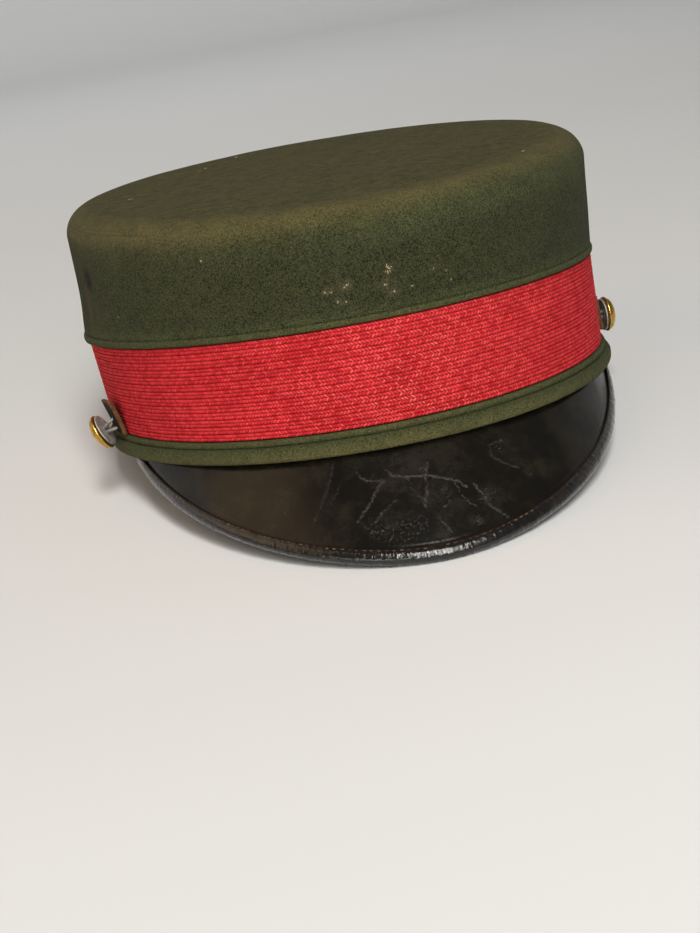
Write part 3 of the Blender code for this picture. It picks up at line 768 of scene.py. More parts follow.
def make_crown():
    tucked, outer, profile = crown_profile()
    rows = len(profile)
    lip = tucked + LIP_STEPS + 1

    def angle_of(column):
        return turn_at(column, CROWN_COLUMNS)

    def degrees_of(column):
        return from_front(angle_of(column))

    def up_from_foot(row):
        """Millimetres along the outside from the foot of the shoulder, less than 0 below it."""
        height, _, spread = outer[row]
        if spread < 1.0:
            return (math.pi / 2 * SHOULDER_RADIUS + (1 - spread) * HALF_WIDTH) / MM
        if height < SHOULDER_FOOT:
            return (height - SHOULDER_FOOT) / MM
        return math.asin(share_of(height, SHOULDER_FOOT, CROWN_TOP)) * SHOULDER_RADIUS / MM

    reached = [up_from_foot(row) for row in range(len(outer))]

    def above_ridge(column, row):
        turn = between_points(RIDGE, degrees_of(column))
        return reached[row] - math.radians(turn) * SHOULDER_RADIUS / MM

    def near_vent(angle, height):
        nearest = min(abs(abs(from_front(angle)) - math.degrees(VENT_ANGLE)), 90)
        return math.hypot(math.radians(nearest) * HALF_LENGTH, height - BAND_HEIGHT - VENT_HEIGHT) / MM

    def place(column, row):
        row %= rows
        height, outset, spread = profile[row]
        angle = angle_of(column)
        point = wall_point(angle, height, outset, spread)
        if tucked <= row < len(outer):
            lumps = noise.noise(point * 30) * 0.30 + noise.noise(point * 110) * 0.08
            lift = 1.0 if spread < 1.0 else share_of(height, SHOULDER_FOOT, CROWN_TOP)
            lumps *= 1 - 0.5 * lift
            lumps += left_flare(angle, height) if spread == 1.0 else 0.0
            point += (oval_normal(angle) * (1 - lift) + Vector((0, 0, 1)) * lift) * lumps * MM
        return point

    def outside_only(paint):
        return lambda column, row: paint(column, row % rows) if lip <= row % rows < len(outer) else 0.0

    def worn(column, row):
        above = above_ridge(column, row)
        width = 6.5 if above > 0 else 4.6
        return 0.95 * bump_at(above, 0, width)

    def faded(column, row):
        strength = between_points(FADING, degrees_of(column))
        by_fold = 0.55 * bump_at(reached[row], reached[lip], 2.2)
        return max(strength * bump_at(above_ridge(column, row), -7.5, 6.0), by_fold)

    def top(column, row):
        return eased(share_of(above_ridge(column, row), -1.0, 7.0))

    def shaded_crease(column, row):
        turned_to = degrees_of(column)
        above = above_ridge(column, row)
        deepest = 0.0
        for start, end, line, depth in CREASES:
            ends = share_of(turned_to, start, start + 8) * share_of(-turned_to, -end, 12 - end)
            sway = 0.18 * math.sin(turned_to * 0.21 + line)
            deepest = max(deepest, depth * ends * bump_at(above, line + sway, 0.30))
        return deepest

    def rust(column, row):
        """Brown stain that has run down from each vent."""
        height = outer[row][0]
        off = (abs(degrees_of(column)) - math.degrees(VENT_ANGLE) - 1) * 1.7
        return bump_at(off, 0, 2.6) * bump_at(height / MM, 42, 9.0)

    def vent_shade(column, row):
        """Painted shade of the vent hole, near black, at the front edge of each vent."""
        height, _, spread = outer[row]
        if spread < 1.0:
            return 0.0
        shifted = angle_of(column) + math.copysign(VENT_SHADE_SHIFT, degrees_of(column))
        return min(1.0, 1.6 * bump_at(near_vent(shifted, height), 0, 3.0))

    def frayed(column, row):
        height, _, spread = outer[row]
        if spread < 1.0:
            return 0.0
        paleness = 0.0
        for degrees, up, radius, strength in SMEARS:
            across = math.radians(degrees_of(column) - degrees) * HALF_LENGTH / MM
            paleness += strength * bump_at(math.hypot(across, height / MM - up), 0, radius)
        return min(1.0, paleness)

    def cloth(column, row):
        return girth_at(column / CROWN_COLUMNS) / MM, row

    marks = {"worn": worn, "faded": faded, "top": top, "shaded_crease": shaded_crease, "rust": rust, "vent_shade": vent_shade,
             "frayed": frayed}
    painted = {name: outside_only(paint) for name, paint in marks.items()}
    bm = bent_grid(CROWN_COLUMNS, rows, place, cloth, painted)
    crown = add_piece(bm, "felt_crown", crown_felt(), "crown_felt", "crown")
    cutters = []
    for side in (1, -1):
        bm = bmesh.new()
        bmesh.ops.create_cone(
            bm, cap_ends=True, segments=40, radius1=VENT_RADIUS, radius2=VENT_RADIUS,
            depth=4 * FELT, matrix=Matrix.Rotation(math.pi / 2, 4, "Y"),
        )
        bm.transform(side_frame(FRONT + side * VENT_ANGLE, BAND_HEIGHT + VENT_HEIGHT, -FELT / 2))
        cutters.append(bm)
    cut_away(crown, cutters)


# How many short fibres make up one speck
FIBRES_IN_SPECK = 7


def make_specks():
    """Tiny tufts of pale fibre that lie on the felt."""
    rng = random.Random(11)
    whole = bmesh.new()
    top = CROWN_TOP + TOP_DOME * 0.8
    spots = [(degrees, height * MM, 0.0, 1.0, size) for degrees, height, size in SIDE_SPECKS]
    spots += [(degrees, top, -SHOULDER_RADIUS, out, size) for degrees, out, size in TOP_SPECKS]
    for degrees, height, outset, spread, size in spots:
        angle = FRONT + math.radians(degrees)
        middle = wall_point(angle, height, outset, spread)
        facing = oval_normal(angle) if spread == 1.0 else Vector((0, 0, 1))
        along = oval_tangent(angle)
        axes = Matrix((along, facing.cross(along), facing)).transposed().to_4x4()
        for _ in range(FIBRES_IN_SPECK):
            turn = Matrix.Rotation(rng.uniform(0, math.pi), 4, "Z")
            thin = size * MM * rng.uniform(0.08, 0.20) + 0.02 * MM
            shape = Matrix.Diagonal((size * MM * rng.uniform(0.5, 1.1), thin, 0.12 * MM, 1))
            sideways = rng.gauss(0, 0.7) * size * MM
            upwards = rng.gauss(0, 0.7) * size * MM
            shift = Matrix.Translation((sideways, upwards, 0.08 * MM))
            matrix = Matrix.Translation(middle) @ axes @ shift @ turn @ shape
            made = bmesh.ops.create_icosphere(whole, subdivisions=2, radius=1.0)["verts"]
            bmesh.ops.transform(whole, matrix=matrix, verts=made)
    add_piece(whole, "crown_frayed_specks", speck_fibre(), "crown_felt")


# Band and felt trim

# One rib of the braid from its lower edge: shares of the way up, and of the ribs' depth
RIB_PROFILE = (
    (0.0, 1.0), (0.05, 0.55), (0.12, 0.14), (0.28, 0.0), (0.43, 0.20),
    (0.50, 0.60), (0.57, 0.20), (0.72, 0.0), (0.88, 0.14), (0.95, 0.55),
)


def slot_cutter(fitting):
    """Block that cuts the slot for a button's loop."""
    bm = bmesh.new()
    bmesh.ops.create_cube(bm, size=1, matrix=Matrix.Diagonal((SLOT_DEPTH, SLOT_WIDTH, SLOT_HEIGHT, 1)))
    bm.transform(side_frame(FRONT + fitting["side"] * fitting["from_front"], BUTTON_HEIGHT, 0.0))
    return bm


def make_band():
    pitch = BAND_HEIGHT / RIB_COUNT
    section = []
    for rib in range(RIB_COUNT):
        for along, depth in RIB_PROFILE:
            section.append(((rib + along) * pitch, -depth * RIB_DEPTH, rib + along))
    section.append((BAND_HEIGHT, -RIB_DEPTH, RIB_COUNT))
    section.append((BAND_HEIGHT, -BAND_THICKNESS, RIB_COUNT))
    section.append((0.0, -BAND_THICKNESS, 0.0))
    rows = len(section)

    def place(column, row):
        height, outset, _ = section[row % rows]
        angle = turn_at(column, BAND_COLUMNS)
        if 0 < row < rows - 3:
            across, forwards = math.cos(angle), math.sin(angle)
            height += 0.10 * MM * noise.noise(Vector((across, forwards, height * 200)) * 7)
            outset -= 0.06 * MM * (1 + noise.noise(Vector((across, forwards, height * 300)) * 11))
        return wall_point(angle, height, outset)

    def cloth(column, row):
        return girth_at(column / BAND_COLUMNS) / MM, section[row % rows][2]

    def lit_front(column, row):
        """How far a place faces the front, where the painted highlight on the stitch crests is strongest."""
        return bump_at(from_front(turn_at(column, BAND_COLUMNS)), 6, 34)

    bm = bent_grid(BAND_COLUMNS, rows, place, cloth, {"lit_front": lit_front})
    band = add_piece(bm, "braided_band", band_braid(), "band_braid", "band")
    cut_away(band, [slot_cutter(fitting) for fitting in SIDE_FITTINGS.values()])


def rolled_rows(top, height, proud, straight):
    """Section of a trim as (height, outset, share down its face), flat above and below for a share of its
    depth."""
    depth = BAND_THICKNESS + proud
    rows = [(top, -BAND_THICKNESS, 0.0), (top, straight * depth - BAND_THICKNESS, 0.0)]
    for step in range(1, TRIM_STEPS):
        turn = math.pi * step / TRIM_STEPS
        out = straight + (1 - straight) * math.sin(turn) ** 0.8
        level = top - height * (0.5 - 0.5 * math.cos(turn))
        rows.append((level, out * depth - BAND_THICKNESS, step / TRIM_STEPS))
    rows += [(top - height, straight * depth - BAND_THICKNESS, 1.0), (top - height, -BAND_THICKNESS, 1.0)]
    return rows


def make_trim(name, node, felt, top, height, proud, straight, wear, unevenness):
    """A rolled strip of felt round the cap; wear(down) is how worn its face is from top to bottom."""
    rows = rolled_rows(top, height, proud, straight)
    count = len(rows)

    def place(column, row):
        level, outset, down = rows[row % count]
        angle = turn_at(column, TRIM_COLUMNS)
        round_about = Vector((math.cos(angle), math.sin(angle), top * 100))
        if 1 < row % count < count - 2:
            outset += unevenness * (noise.noise(round_about * 6) - 0.35)
            outset += 0.16 * MM * noise.noise(wall_point(angle, level, outset) * 400)
            outset += left_flare(angle, level) * MM if node == "upper_welt" else 0.0
        return pressed_flat(wall_point(angle, level, outset))

    def worn(column, row):
        facing = bump_at(from_front(turn_at(column, TRIM_COLUMNS)), 0, 50)
        return wear(rows[row % count][2]) * (0.55 + 0.72 * facing)

    bm = bent_grid(TRIM_COLUMNS, count, place, None, {"worn": worn})
    add_piece(bm, name, felt, "trim_felt", node)


def make_trims():
    felt = trim_felt()
    make_trim(
        "felt_fold", "upper_welt", felt, FOLD_TOP + 2 * TRIM_REACH, FOLD_HEIGHT + 2 * TRIM_REACH, FOLD_PROUD,
        straight=0.745, wear=lambda down: 0.25 + 0.35 * down, unevenness=0.15 * MM,
    )
    make_trim(
        "felt_bead", "lower_welt", felt, BEAD_TOP + TRIM_REACH, BEAD_HEIGHT + 2 * TRIM_REACH, BEAD_PROUD,
        straight=0.86, wear=lambda down: 0.10 + 0.45 * bump_at(down, 0.35, 0.35), unevenness=0.15 * MM,
    )
    make_trim(
        "felt_roll", "base_roll", felt, ROLL_TOP + TRIM_REACH, ROLL_HEIGHT + TRIM_REACH, ROLL_PROUD,
        straight=0.80, wear=lambda down: 0.10 + 0.90 * share_of(down, 0.15, 0.75), unevenness=0.35 * MM,
    )


# Peak and its binding

def peak_reach(share):
    """How far the peak stands out at a share of its way round, from -1 to 1."""
    return PEAK_REACH * (1 - abs(share) ** PEAK_FULLNESS) ** PEAK_ROUNDNESS


def peak_root(share):
    return wall_point(FRONT + PEAK_SPREAD * share, PEAK_ROOT, -PEAK_SEAT)


def peak_edge(share):
    return peak_root(share) + PEAK_WAY * peak_reach(share)


def peak_normal(share):
    return oval_tangent(FRONT + PEAK_SPREAD * share).cross(-PEAK_WAY).normalized()


def peak_share(station, stations):
    """Share of the way round at a station; the stations lie closer towards the peak's ends."""
    turn = math.pi * (station / stations - 0.5)
    return PEAK_END_SHARE * (0.5 * math.sin(turn) + 0.5 * turn / (math.pi / 2))


def edge_along(share):
    return (peak_edge(share + 0.002) - peak_edge(share - 0.002)).normalized()


def from_edge(share, out):
    """Distance of a point on the leather from the peak's edge, measured square to it."""
    across = peak_normal(share).cross(edge_along(share))
    return (1 - out) * peak_reach(share) * abs(across.dot(PEAK_WAY))


# Scratches on the patent leather: width, strength, and points as share across and millimetres down
SCRATCHES = (
    (0.26, 0.8, ((-0.18, 6.4), (-0.175, 8.6), (-0.16, 9.9), (-0.12, 10.3))),
    (0.30, 1.0, ((-0.10, 7.3), (-0.09, 9.3), (-0.05, 10.8), (-0.01, 11.2), (0.035, 13.1), (0.08, 15.6),
                 (0.10, 18.4))),
    (0.26, 0.9, ((0.015, 7.6), (-0.003, 11.4), (-0.008, 15.4), (-0.03, 21.6))),
    (0.26, 0.9, ((-0.12, 10.7), (-0.15, 14.2), (-0.18, 18.4), (-0.22, 23.1))),
    (0.24, 0.5, ((-0.10, 17.7), (-0.145, 20.8), (-0.175, 23.9))),
    (0.24, 0.45, ((-0.24, 2.2), (-0.26, 7.9), (-0.295, 14.3), (-0.335, 21.7))),
    (0.22, 0.35, ((-0.24, 10.6), (-0.27, 14.6))),
    (0.26, 0.7, ((0.25, 6.6), (0.205, 7.0), (0.20, 11.1), (0.23, 14.0), (0.265, 17.0))),
    (0.28, 0.8, ((0.12, 18.2), (0.135, 21.5), (0.145, 25.8), (0.185, 31.1))),
    (0.24, 0.45, ((0.0, 26.6), (0.02, 31.2))),
    (0.24, 0.45, ((0.07, 15.8), (0.08, 20.7), (0.105, 25.0))),
    (0.24, 0.35, ((-0.05, 10.8), (-0.05, 14.7), (-0.027, 19.3))),
    (0.24, 0.45, ((0.12, 23.5), (0.175, 22.3))),
    (0.22, 0.35, ((0.02, 23.2), (0.045, 21.2))),
)

# Dull rubbed spots, painted paler with glints: radius, strength, share across, millimetres down from the
# root
SCUFFS = (
    (0.9, 1.0, -0.41, 18.0), (2.6, 0.6, -0.185, 25.3), (2.8, 0.8, -0.155, 27.5), (3.2, 0.7, -0.10, 28.5),
    (2.4, 0.5, -0.055, 26.6), (2.2, 0.8, 0.14, 22.5), (1.6, 0.5, 0.30, 19.0), (1.8, 0.5, 0.10, 29.5),
    (1.5, 0.5, -0.01, 9.0), (2.2, 0.35, 0.04, 18.0), (1.4, 0.4, 0.23, 9.0),
)


def from_line(place, start, end):
    """Distance from a place to a straight line between two points."""
    along = end - start
    share = share_of((place - start).dot(along), 0, along.dot(along))
    return (place - start - along * share).length


def on_leather(share, down):
    """Place on the leather laid flat, in millimetres."""
    return Vector((share * PEAK_SPREAD * HALF_LENGTH / MM, down))


def scratched(place):
    """How deep a scratch is at a place on the leather, from 0 to 1."""
    waver = [noise.noise(Vector((*place, layer)) * 0.7) for layer in (2.0, 9.0)]
    wavy = place + Vector(waver) * 0.5
    deepest = 0.0
    for width, strength, points in SCRATCHES:
        marks = [on_leather(*point) for point in points]
        for start, end in zip(marks, marks[1:]):
            if (wavy - (start + end) / 2).length < (end - start).length / 2 + 3 * width:
                deepest = max(deepest, strength * bump_at(from_line(wavy, start, end), 0, width))
    return deepest


def scuffed(place):
    return min(sum(strength * bump_at((place - on_leather(share, down)).length, 0, radius)
                   for radius, strength, share, down in SCUFFS), 1.0)


def swept(stations, section_count, place, cloth=None, painted=None):
    """A closed section carried along stations and capped at both ends."""
    bm = bent_grid(stations, section_count, place, cloth, painted)
    bmesh.ops.remove_doubles(bm, verts=bm.verts, dist=WELD)
    open_edges = [edge for edge in bm.edges if edge.is_boundary]
    bmesh.ops.holes_fill(bm, edges=open_edges, sides=section_count)
    return bm


def make_peak():
    section = [(step / PEAK_ROWS, 0.0) for step in range(PEAK_ROWS + 1)]
    section += [(1 - step / UNDERSIDE_ROWS, 1.0) for step in range(UNDERSIDE_ROWS + 1)]
    count = len(section)

    def place(column, row):
        out, under = section[row % count]
        share = peak_share(column, PEAK_COLUMNS)
        normal = peak_normal(share)
        point = peak_root(share) + PEAK_WAY * peak_reach(share) * out
        if not under:
            inside = from_edge(share, out) / MM
            free = share_of(inside, 3.2, 6.0) * share_of(out * peak_reach(share) / MM, 0.5, 6.0)
            ridge = 0.02 * bump_at(inside, 4.7, 0.45) - 0.03 * bump_at(inside, 3.9, 0.40)
            swell = 0.30 * noise.noise(point * 38 + Vector((3, 1, 7))) * free
            return point + normal * (ridge + swell) * MM
        if out:
            return point - normal * LEATHER
        inward = -oval_normal(FRONT + PEAK_SPREAD * share)
        return point - inward * LEATHER / normal.dot(inward)

    def painted(mark):
        def paint(column, row):
            out, under = section[row % count]
            share = peak_share(column, PEAK_COLUMNS)
            return 0.0 if under else mark(on_leather(share, out * peak_reach(share) / MM))

        return paint

    bm = swept(PEAK_COLUMNS, count, place, None, {"scratch": painted(scratched), "scuff_and_glint": painted(scuffed)})
    peak = add_piece(bm, "patent_peak", peak_leather(), "peak_leather", "peak")
    peak.data.materials.append(underside_leather())
    down = AT_REST.to_3x3() @ Vector((0, 0, -1))
    for face in peak.data.polygons:
        if face.normal.dot(down) > 0.2:
            face.material_index = 1


# The folded strip: where it is thickest as a share of its width, and how thick its cut edge is as a share
BINDING_CREST = 0.42
BINDING_EDGE = 0.25

# How the folded strip turns over the edge: shares of the way out, and of half its thickness above the middle
BINDING_TURN = (
    (0.12, 0.985), (0.28, 0.945), (0.44, 0.895), (0.60, 0.83), (0.74, 0.74), (0.86, 0.60), (0.95, 0.38),
    (0.99, 0.15), (1.0, 0.0),
)


def binding_rows():
    """Section of the folded strip: (inward, up) from the leather's upper corner, all round."""
    over = CLEARANCE
    under = -LEATHER - CLEARANCE
    middle = (over + under) / 2
    half = (over - under) / 2 + BINDING_WALL
    crest = BINDING_CREST * BINDING_WIDTH
    upper = []
    for step in range(1, BINDING_FOLD_STEPS + 1):
        turn = math.pi / 2 * step / BINDING_FOLD_STEPS
        rise = BINDING_EDGE + (1 - BINDING_EDGE) * math.sin(turn) ** 0.9
        upper.append((crest + (BINDING_WIDTH - crest) * math.cos(turn), over + rise * BINDING_WALL))
    rows = [(BINDING_WIDTH, over), (BINDING_WIDTH, over + BINDING_EDGE * BINDING_WALL)] + upper
    reach = crest + CLEARANCE + BINDING_WALL
    outer = [(crest - out * reach, up * half) for out, up in BINDING_TURN]
    rows += [(inward, middle + up) for inward, up in outer]
    rows += [(inward, middle - up) for inward, up in outer[-2::-1]]
    rows += [(inward, 2 * middle - up) for inward, up in reversed(upper)]
    rows += [(BINDING_WIDTH, under - BINDING_EDGE * BINDING_WALL), (BINDING_WIDTH, under)]
    rows += [(-CLEARANCE, under), (-CLEARANCE, over)]
    return rows


def edge_lengths(stations):
    """Distance along the peak's edge at each station."""
    lengths = [0.0]
    for station in range(stations):
        here = peak_edge(peak_share(station, stations))
        there = peak_edge(peak_share(station + 1, stations))
        lengths.append(lengths[-1] + (there - here).length)
    return lengths


def make_binding():
    rows = binding_rows()
    count = len(rows)
    lengths = edge_lengths(BINDING_COLUMNS)

    def place(column, row):
        inward, up = rows[row % count]
        share = peak_share(column, BINDING_COLUMNS)
        normal = peak_normal(share)
        across = normal.cross(edge_along(share))
        if 0 < row % count < count - 3:
            way = Vector((lengths[column] / MM * 0.9, inward / MM * 0.30, up / MM * 0.30))
            crinkle = noise.noise(way) * 0.14 + noise.noise(way * 2.3) * 0.08
            up += math.copysign(crinkle * MM, up)
            inward -= crinkle * MM if inward < 0 else 0
        if inward > 0:
            inward = min(inward, BINDING_NARROWING * peak_reach(share))
        return pressed_flat(peak_edge(share) + across * inward + normal * up)

    def cloth(column, row):
        return lengths[column] / MM, row * 0.4

    bm = swept(BINDING_COLUMNS, count, place, cloth)
    add_piece(bm, "peak_edge_binding", binding_leather(), "binding_leather", "peak_binding")


# Stitches of the binding: pitch, length, half thickness, distance in from the edge, and how high they lie
STITCH_PITCH = 2.1 * MM
STITCH_LENGTH = 1.35 * MM
STITCH_WIRE = 0.22 * MM
STITCH_INSET = 2.35 * MM
STITCH_RISE = CLEARANCE + 0.80 * BINDING_WALL


def make_stitches():
    """One short thread after another along the inner edge of the binding."""
    lengths = edge_lengths(STITCH_STATIONS)
    whole = bmesh.new()
    reached = 0.0
    rng = random.Random(7)
    for station in range(STITCH_STATIONS):
        share = peak_share(station, STITCH_STATIONS)
        if lengths[station] < reached or peak_reach(share) < 3 * STITCH_INSET:
            continue
        reached = lengths[station] + STITCH_PITCH
        normal = peak_normal(share)
        along = edge_along(share)
        across = normal.cross(along)
        inset = STITCH_INSET + rng.uniform(-0.10, 0.10) * MM
        middle = peak_edge(share) + across * inset + normal * STITCH_RISE
        turn = rng.uniform(-0.12, 0.12)
        way = (along * math.cos(turn) + across * math.sin(turn)).normalized()
        side = normal.cross(way)
        axes = Matrix((way, side, normal)).transposed().to_4x4()
        made = bmesh.ops.create_icosphere(whole, subdivisions=2, radius=1.0)["verts"]
        length = STITCH_LENGTH * rng.uniform(0.7, 1.15)
        size = Matrix.Diagonal((length / 2, STITCH_WIRE, STITCH_WIRE * rng.uniform(0.4, 0.9), 1))
        bmesh.ops.transform(whole, matrix=Matrix.Translation(middle) @ axes @ size, verts=made)
    add_piece(whole, "binding_stitches", stitch_thread(), "binding_leather")


# Strap tabs and buttons

def tab_outset(fitting, height):
    """How far a tab's inner face stands off the band at that height."""
    up = share_of(height, 0, TAB_HEIGHT)
    return CLEARANCE + fitting["foot_off"] * (1 - up) ** TAB_CURL + fitting["top_off"] * up**TAB_CURL


def make_tab(name, fitting, material):
    """A block cut finely, with its corners drawn in and bent to the band."""
    bm = bmesh.new()
    bmesh.ops.create_cube(bm, size=1)
    for axis, cuts in ((1, TAB_CUTS), (2, TAB_CUTS), (0, TAB_THROUGH_CUTS)):
        edges = [edge for edge in bm.edges if abs((edge.verts[0].co - edge.verts[1].co)[axis]) > 0.5]
        bmesh.ops.subdivide_edges(bm, edges=edges, cuts=cuts, use_grid_fill=True)
    raw = bm.verts.layers.float.new("raw_edge")
    for vert in bm.verts:
        through, across, up = vert.co
        on_rim = max(abs(across), abs(up)) > 0.499
        vert[raw] = 1.0 if on_rim else fitting["bare"]
        rounding = 1 - 0.05 * (2 * through) ** 4
        height = TAB_HEIGHT * (up * rounding + 0.5)
        corner = share_of(height, TAB_HEIGHT - TAB_CORNER, TAB_HEIGHT)
        width = (TAB_WIDTH - 2 * TAB_CORNER_CUT * corner**2) * rounding
        angle = FRONT + fitting["side"] * fitting["from_front"] + width * across / HALF_LENGTH
        outset = tab_outset(fitting, height) + TAB_LEATHER * (through + 0.5)
        vert.co = wall_point(angle, height, outset)
    tab = add_piece(bm, "leather_tab_" + name, material, "tab_leather", "strap_tab_" + name)
    cut_away(tab, [slot_cutter(fitting)])


def button_frame(fitting):
    """Frame of a button: Z from its loop's end out through its dome."""
    angle = FRONT + fitting["side"] * fitting["from_front"]
    swing = Matrix.Rotation(fitting["swing"], 4, "Z")
    sag = Matrix.Rotation(math.pi / 2 + fitting["sag"], 4, "Y")
    return side_frame(angle, BUTTON_HEIGHT, fitting["pull"]) @ swing @ sag


def turned(profile, painted=None):
    """A turned solid from its (radius, height) profile, which starts and ends on the axis."""

    def place(station, row):
        radius, height = profile[row]
        turn = turn_at(station, BUTTON_SIDES)
        return Vector((radius * math.cos(turn), radius * math.sin(turn), height))

    return bent_grid(BUTTON_SIDES, len(profile) - 1, place, None, painted)


def make_button_cap(name, button, material):
    """A hollow dome with a rolled rim."""
    rim_height = 2 * BUTTON_RIM
    dome_radius = BUTTON_RADIUS - BUTTON_RIM
    profile = []
    for step in range(DOME_STEPS + 1):
        turn = math.pi / 2 * step / DOME_STEPS
        profile.append((dome_radius * math.sin(turn), rim_height + BUTTON_DOME * math.cos(turn)))
    dome_rows = len(profile)
    for step in range(1, BUTTON_RIM_STEPS):
        turn = math.pi * step / BUTTON_RIM_STEPS
        profile.append((dome_radius + BUTTON_RIM * math.sin(turn), BUTTON_RIM + BUTTON_RIM * math.cos(turn)))
    inner_radius = dome_radius - BUTTON_WALL
    inner_dome = BUTTON_DOME - BUTTON_WALL
    profile += [(dome_radius, 0.0), (inner_radius, 0.0), (inner_radius, rim_height)]
    for step in reversed(range(INNER_DOME_STEPS)):
        turn = math.pi / 2 * step / INNER_DOME_STEPS
        profile.append((inner_radius * math.sin(turn), rim_height + inner_dome * math.cos(turn)))

    def rim(column, row):
        return bump_at(row, dome_rows, 2.0)

    bm = turned(profile, {"rim": rim})
    bm.transform(button @ Matrix.Translation((0, 0, LOOP_LENGTH + PLATE_THICKNESS + CLEARANCE)))
    add_piece(bm, "brass_button_" + name, material, "button_brass", "button_cap_" + name)


def make_button_back(name, button, material):
    """Back plate with its wire loop, whose feet run into the plate."""
    radius = BUTTON_RADIUS - BUTTON_RIM
    edge = 0.3 * PLATE_THICKNESS
    profile = [
        (0.0, PLATE_THICKNESS),
        (radius - edge, PLATE_THICKNESS),
        (radius, PLATE_THICKNESS - edge),
        (radius, edge),
        (radius - edge, 0.0),
        (0.86 * radius, -0.02 * MM),
        (0.80 * radius, 0.10 * MM),
        (0.35 * radius, 0.12 * MM),
        (0.0, 0.12 * MM),
    ]
    plate = turned(profile)
    plate.transform(button @ Matrix.Translation((0, 0, LOOP_LENGTH)))
    half = (LOOP_WIDTH - LOOP_WIRE) / 2
    round_middle = half + LOOP_WIRE / 2
    foot = LOOP_LENGTH + PLATE_THICKNESS / 2
    path = [Vector((LOOP_FEET / 2, 0, foot))]
    for step in range(LOOP_STEPS + 1):
        turn = math.pi * step / LOOP_STEPS
        path.append(Vector((half * math.cos(turn), 0, round_middle - half * math.sin(turn))))
    path.append(Vector((-LOOP_FEET / 2, 0, foot)))

    def place(station, corner):
        before = path[max(station - 1, 0)]
        after = path[min(station + 1, len(path) - 1)]
        along = (after - before).normalized()
        across = Vector((0, 1, 0))
        turn = turn_at(corner, LOOP_SIDES)
        other = along.cross(across)
        flare = 1.35 if station in (0, len(path) - 1) else 1.0
        return path[station] + (across * math.cos(turn) + other * math.sin(turn)) * LOOP_WIRE / 2 * flare

    loop = swept(len(path) - 1, LOOP_SIDES, place)
    loop.transform(button)
    add_piece(plate, "button_plate_" + name, material, "button_steel", "button_back_" + name)
    add_piece(loop, "button_loop_" + name, material, "button_steel")


def make_side_fittings():
    leather = tab_leather()
    brass = button_brass()
    steel = button_steel()
    for name, fitting in SIDE_FITTINGS.items():
        make_tab(name, fitting, leather)
        button = button_frame(fitting)
        make_button_cap(name, button, brass)
        make_button_back(name, button, steel)


# Floor, light and camera

# The floor: how far it lies flat, the radius of its curved rim, and the height of its wall
FLOOR_REACH = 2.4
FLOOR_COVE = 0.7
FLOOR_WALL = 1.5
COVE_STEPS = 12


def make_floor():
    """A round pale floor whose rim curves up into a low wall."""
    bm = bmesh.new()
    bmesh.ops.create_circle(bm, cap_ends=True, segments=96, radius=FLOOR_REACH)
    rim = [edge for edge in bm.edges if edge.is_boundary]
    for step in range(1, COVE_STEPS + 1):
        turn = math.pi / 2 * step / COVE_STEPS
        grown = bmesh.ops.extrude_edge_only(bm, edges=rim)["geom"]
        rim = [item for item in grown if isinstance(item, bmesh.types.BMEdge) and item.is_boundary]
        radius = FLOOR_REACH + FLOOR_COVE * math.sin(turn)
        for vert in {vert for edge in rim for vert in edge.verts}:
            flat = Vector((vert.co.x, vert.co.y)).normalized() * radius
            vert.co = (flat.x, flat.y, FLOOR_COVE * (1 - math.cos(turn)))
    grown = bmesh.ops.extrude_edge_only(bm, edges=rim)["geom"]
    for item in grown:
        if isinstance(item, bmesh.types.BMVert):
            item.co.z = FLOOR_WALL
    mesh = bpy.data.meshes.new("floor")
    bm.to_mesh(mesh)
    bm.free()
    mesh.shade_smooth()
    mix = Finish("floor_pale", 0.8, Specular_IOR_Level=0.2)
    tone = mix.noise(mix.place(), 0.5, detail=2)
    mesh.materials.append(mix.finish(mix.blend(tone, (0.62, 0.63, 0.64), (0.66, 0.67, 0.68))))
    floor = bpy.data.objects.new("floor", mesh)
    bpy.context.scene.collection.objects.link(floor)


def add_panel(name, place, size, power, colour, aim=(0, 0, 0.04)):
    """A soft light panel that faces the cap, or the point that it is aimed at."""
    lamp = bpy.data.lights.new(name, "AREA")
    lamp.shape = "RECTANGLE"
    lamp.size, lamp.size_y = size
    lamp.energy = power
    lamp.color = colour
    panel = bpy.data.objects.new(name, lamp)
    panel.location = place
    panel.rotation_euler = (Vector(aim) - Vector(place)).to_track_quat("-Z", "Y").to_euler()
    bpy.context.scene.collection.objects.link(panel)


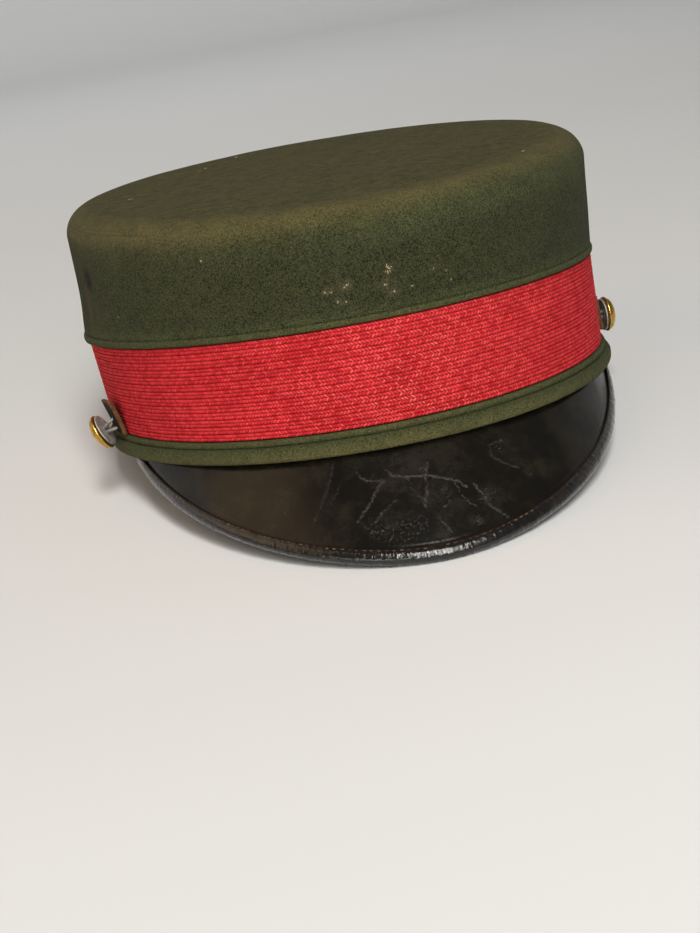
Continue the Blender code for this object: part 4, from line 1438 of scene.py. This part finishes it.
def light_studio():
    add_panel("key_light", (0.07, -1.01, 1.25), (0.36, 1.00), 25, (1.0, 0.97, 0.90))
    add_panel("front_light", (0.04, -1.35, 0.62), (0.44, 0.20), 4.0, (1.0, 0.98, 0.96))
    add_panel("fill_light", (-0.95, -1.25, 0.45), (0.8, 0.6), 4.5, (1.0, 0.96, 0.88))
    add_panel("left_light", (-1.25, 0.10, 0.90), (0.9, 1.3), 3.9, (1.0, 0.66, 0.36))
    add_panel("right_light", (1.40, 0.20, 0.45), (0.9, 0.6), 0.15, (0.85, 0.93, 1.0))
    add_panel("backdrop_light", (-0.3, 0.9, 1.9), (2.6, 0.8), 30, (1.0, 0.99, 0.97), (-0.8, 3.2, 0.6))
    world = bpy.data.worlds.new("studio")
    bpy.context.scene.world = world
    world.use_nodes = True
    world.node_tree.nodes["Background"].inputs["Color"].default_value = (0.96, 0.97, 1.0, 1)
    world.node_tree.nodes["Background"].inputs["Strength"].default_value = 0.11
    bpy.context.scene.view_settings.view_transform = "Standard"


# The photograph's camera, fitted in the cap's frame: angles, and distance from a point above the opening
CAMERA_AZIMUTH = math.radians(-6.5)
CAMERA_ELEVATION = math.radians(12.035)
CAMERA_ROLL = math.radians(-10.606)
CAMERA_AIM = Vector((0, 0, 40 * MM))
CAMERA_DISTANCE = 510.145 * MM
CAMERA_RIGHT = 5.091 * MM
CAMERA_DOWN = 70.398 * MM
FOCAL_PIXELS = 1500
IMAGE_HEIGHT = 933
SENSOR = 36


def place_camera():
    level = math.cos(CAMERA_ELEVATION)
    back = Vector((
        math.sin(CAMERA_AZIMUTH) * level,
        -math.cos(CAMERA_AZIMUTH) * level,
        math.sin(CAMERA_ELEVATION),
    ))
    right = Vector((math.cos(CAMERA_AZIMUTH), math.sin(CAMERA_AZIMUTH), 0))
    up = back.cross(right)
    rolled_right = right * math.cos(CAMERA_ROLL) + up * math.sin(CAMERA_ROLL)
    rolled_up = up * math.cos(CAMERA_ROLL) - right * math.sin(CAMERA_ROLL)
    place = CAMERA_AIM + back * CAMERA_DISTANCE + rolled_right * CAMERA_RIGHT - rolled_up * CAMERA_DOWN
    axes = Matrix((rolled_right, rolled_up, back)).transposed().to_4x4()
    data = bpy.data.cameras.new("camera")
    data.sensor_width = SENSOR
    data.lens = SENSOR * FOCAL_PIXELS / IMAGE_HEIGHT
    data.clip_start, data.clip_end = 0.01, 20
    camera = bpy.data.objects.new("camera", data)
    camera.matrix_world = AT_REST @ Matrix.Translation(place) @ axes
    bpy.context.scene.collection.objects.link(camera)
    bpy.context.scene.camera = camera


make_crown()
make_specks()
make_band()
make_trims()
make_peak()
make_binding()
make_stitches()
make_side_fittings()
make_floor()
light_studio()
place_camera()
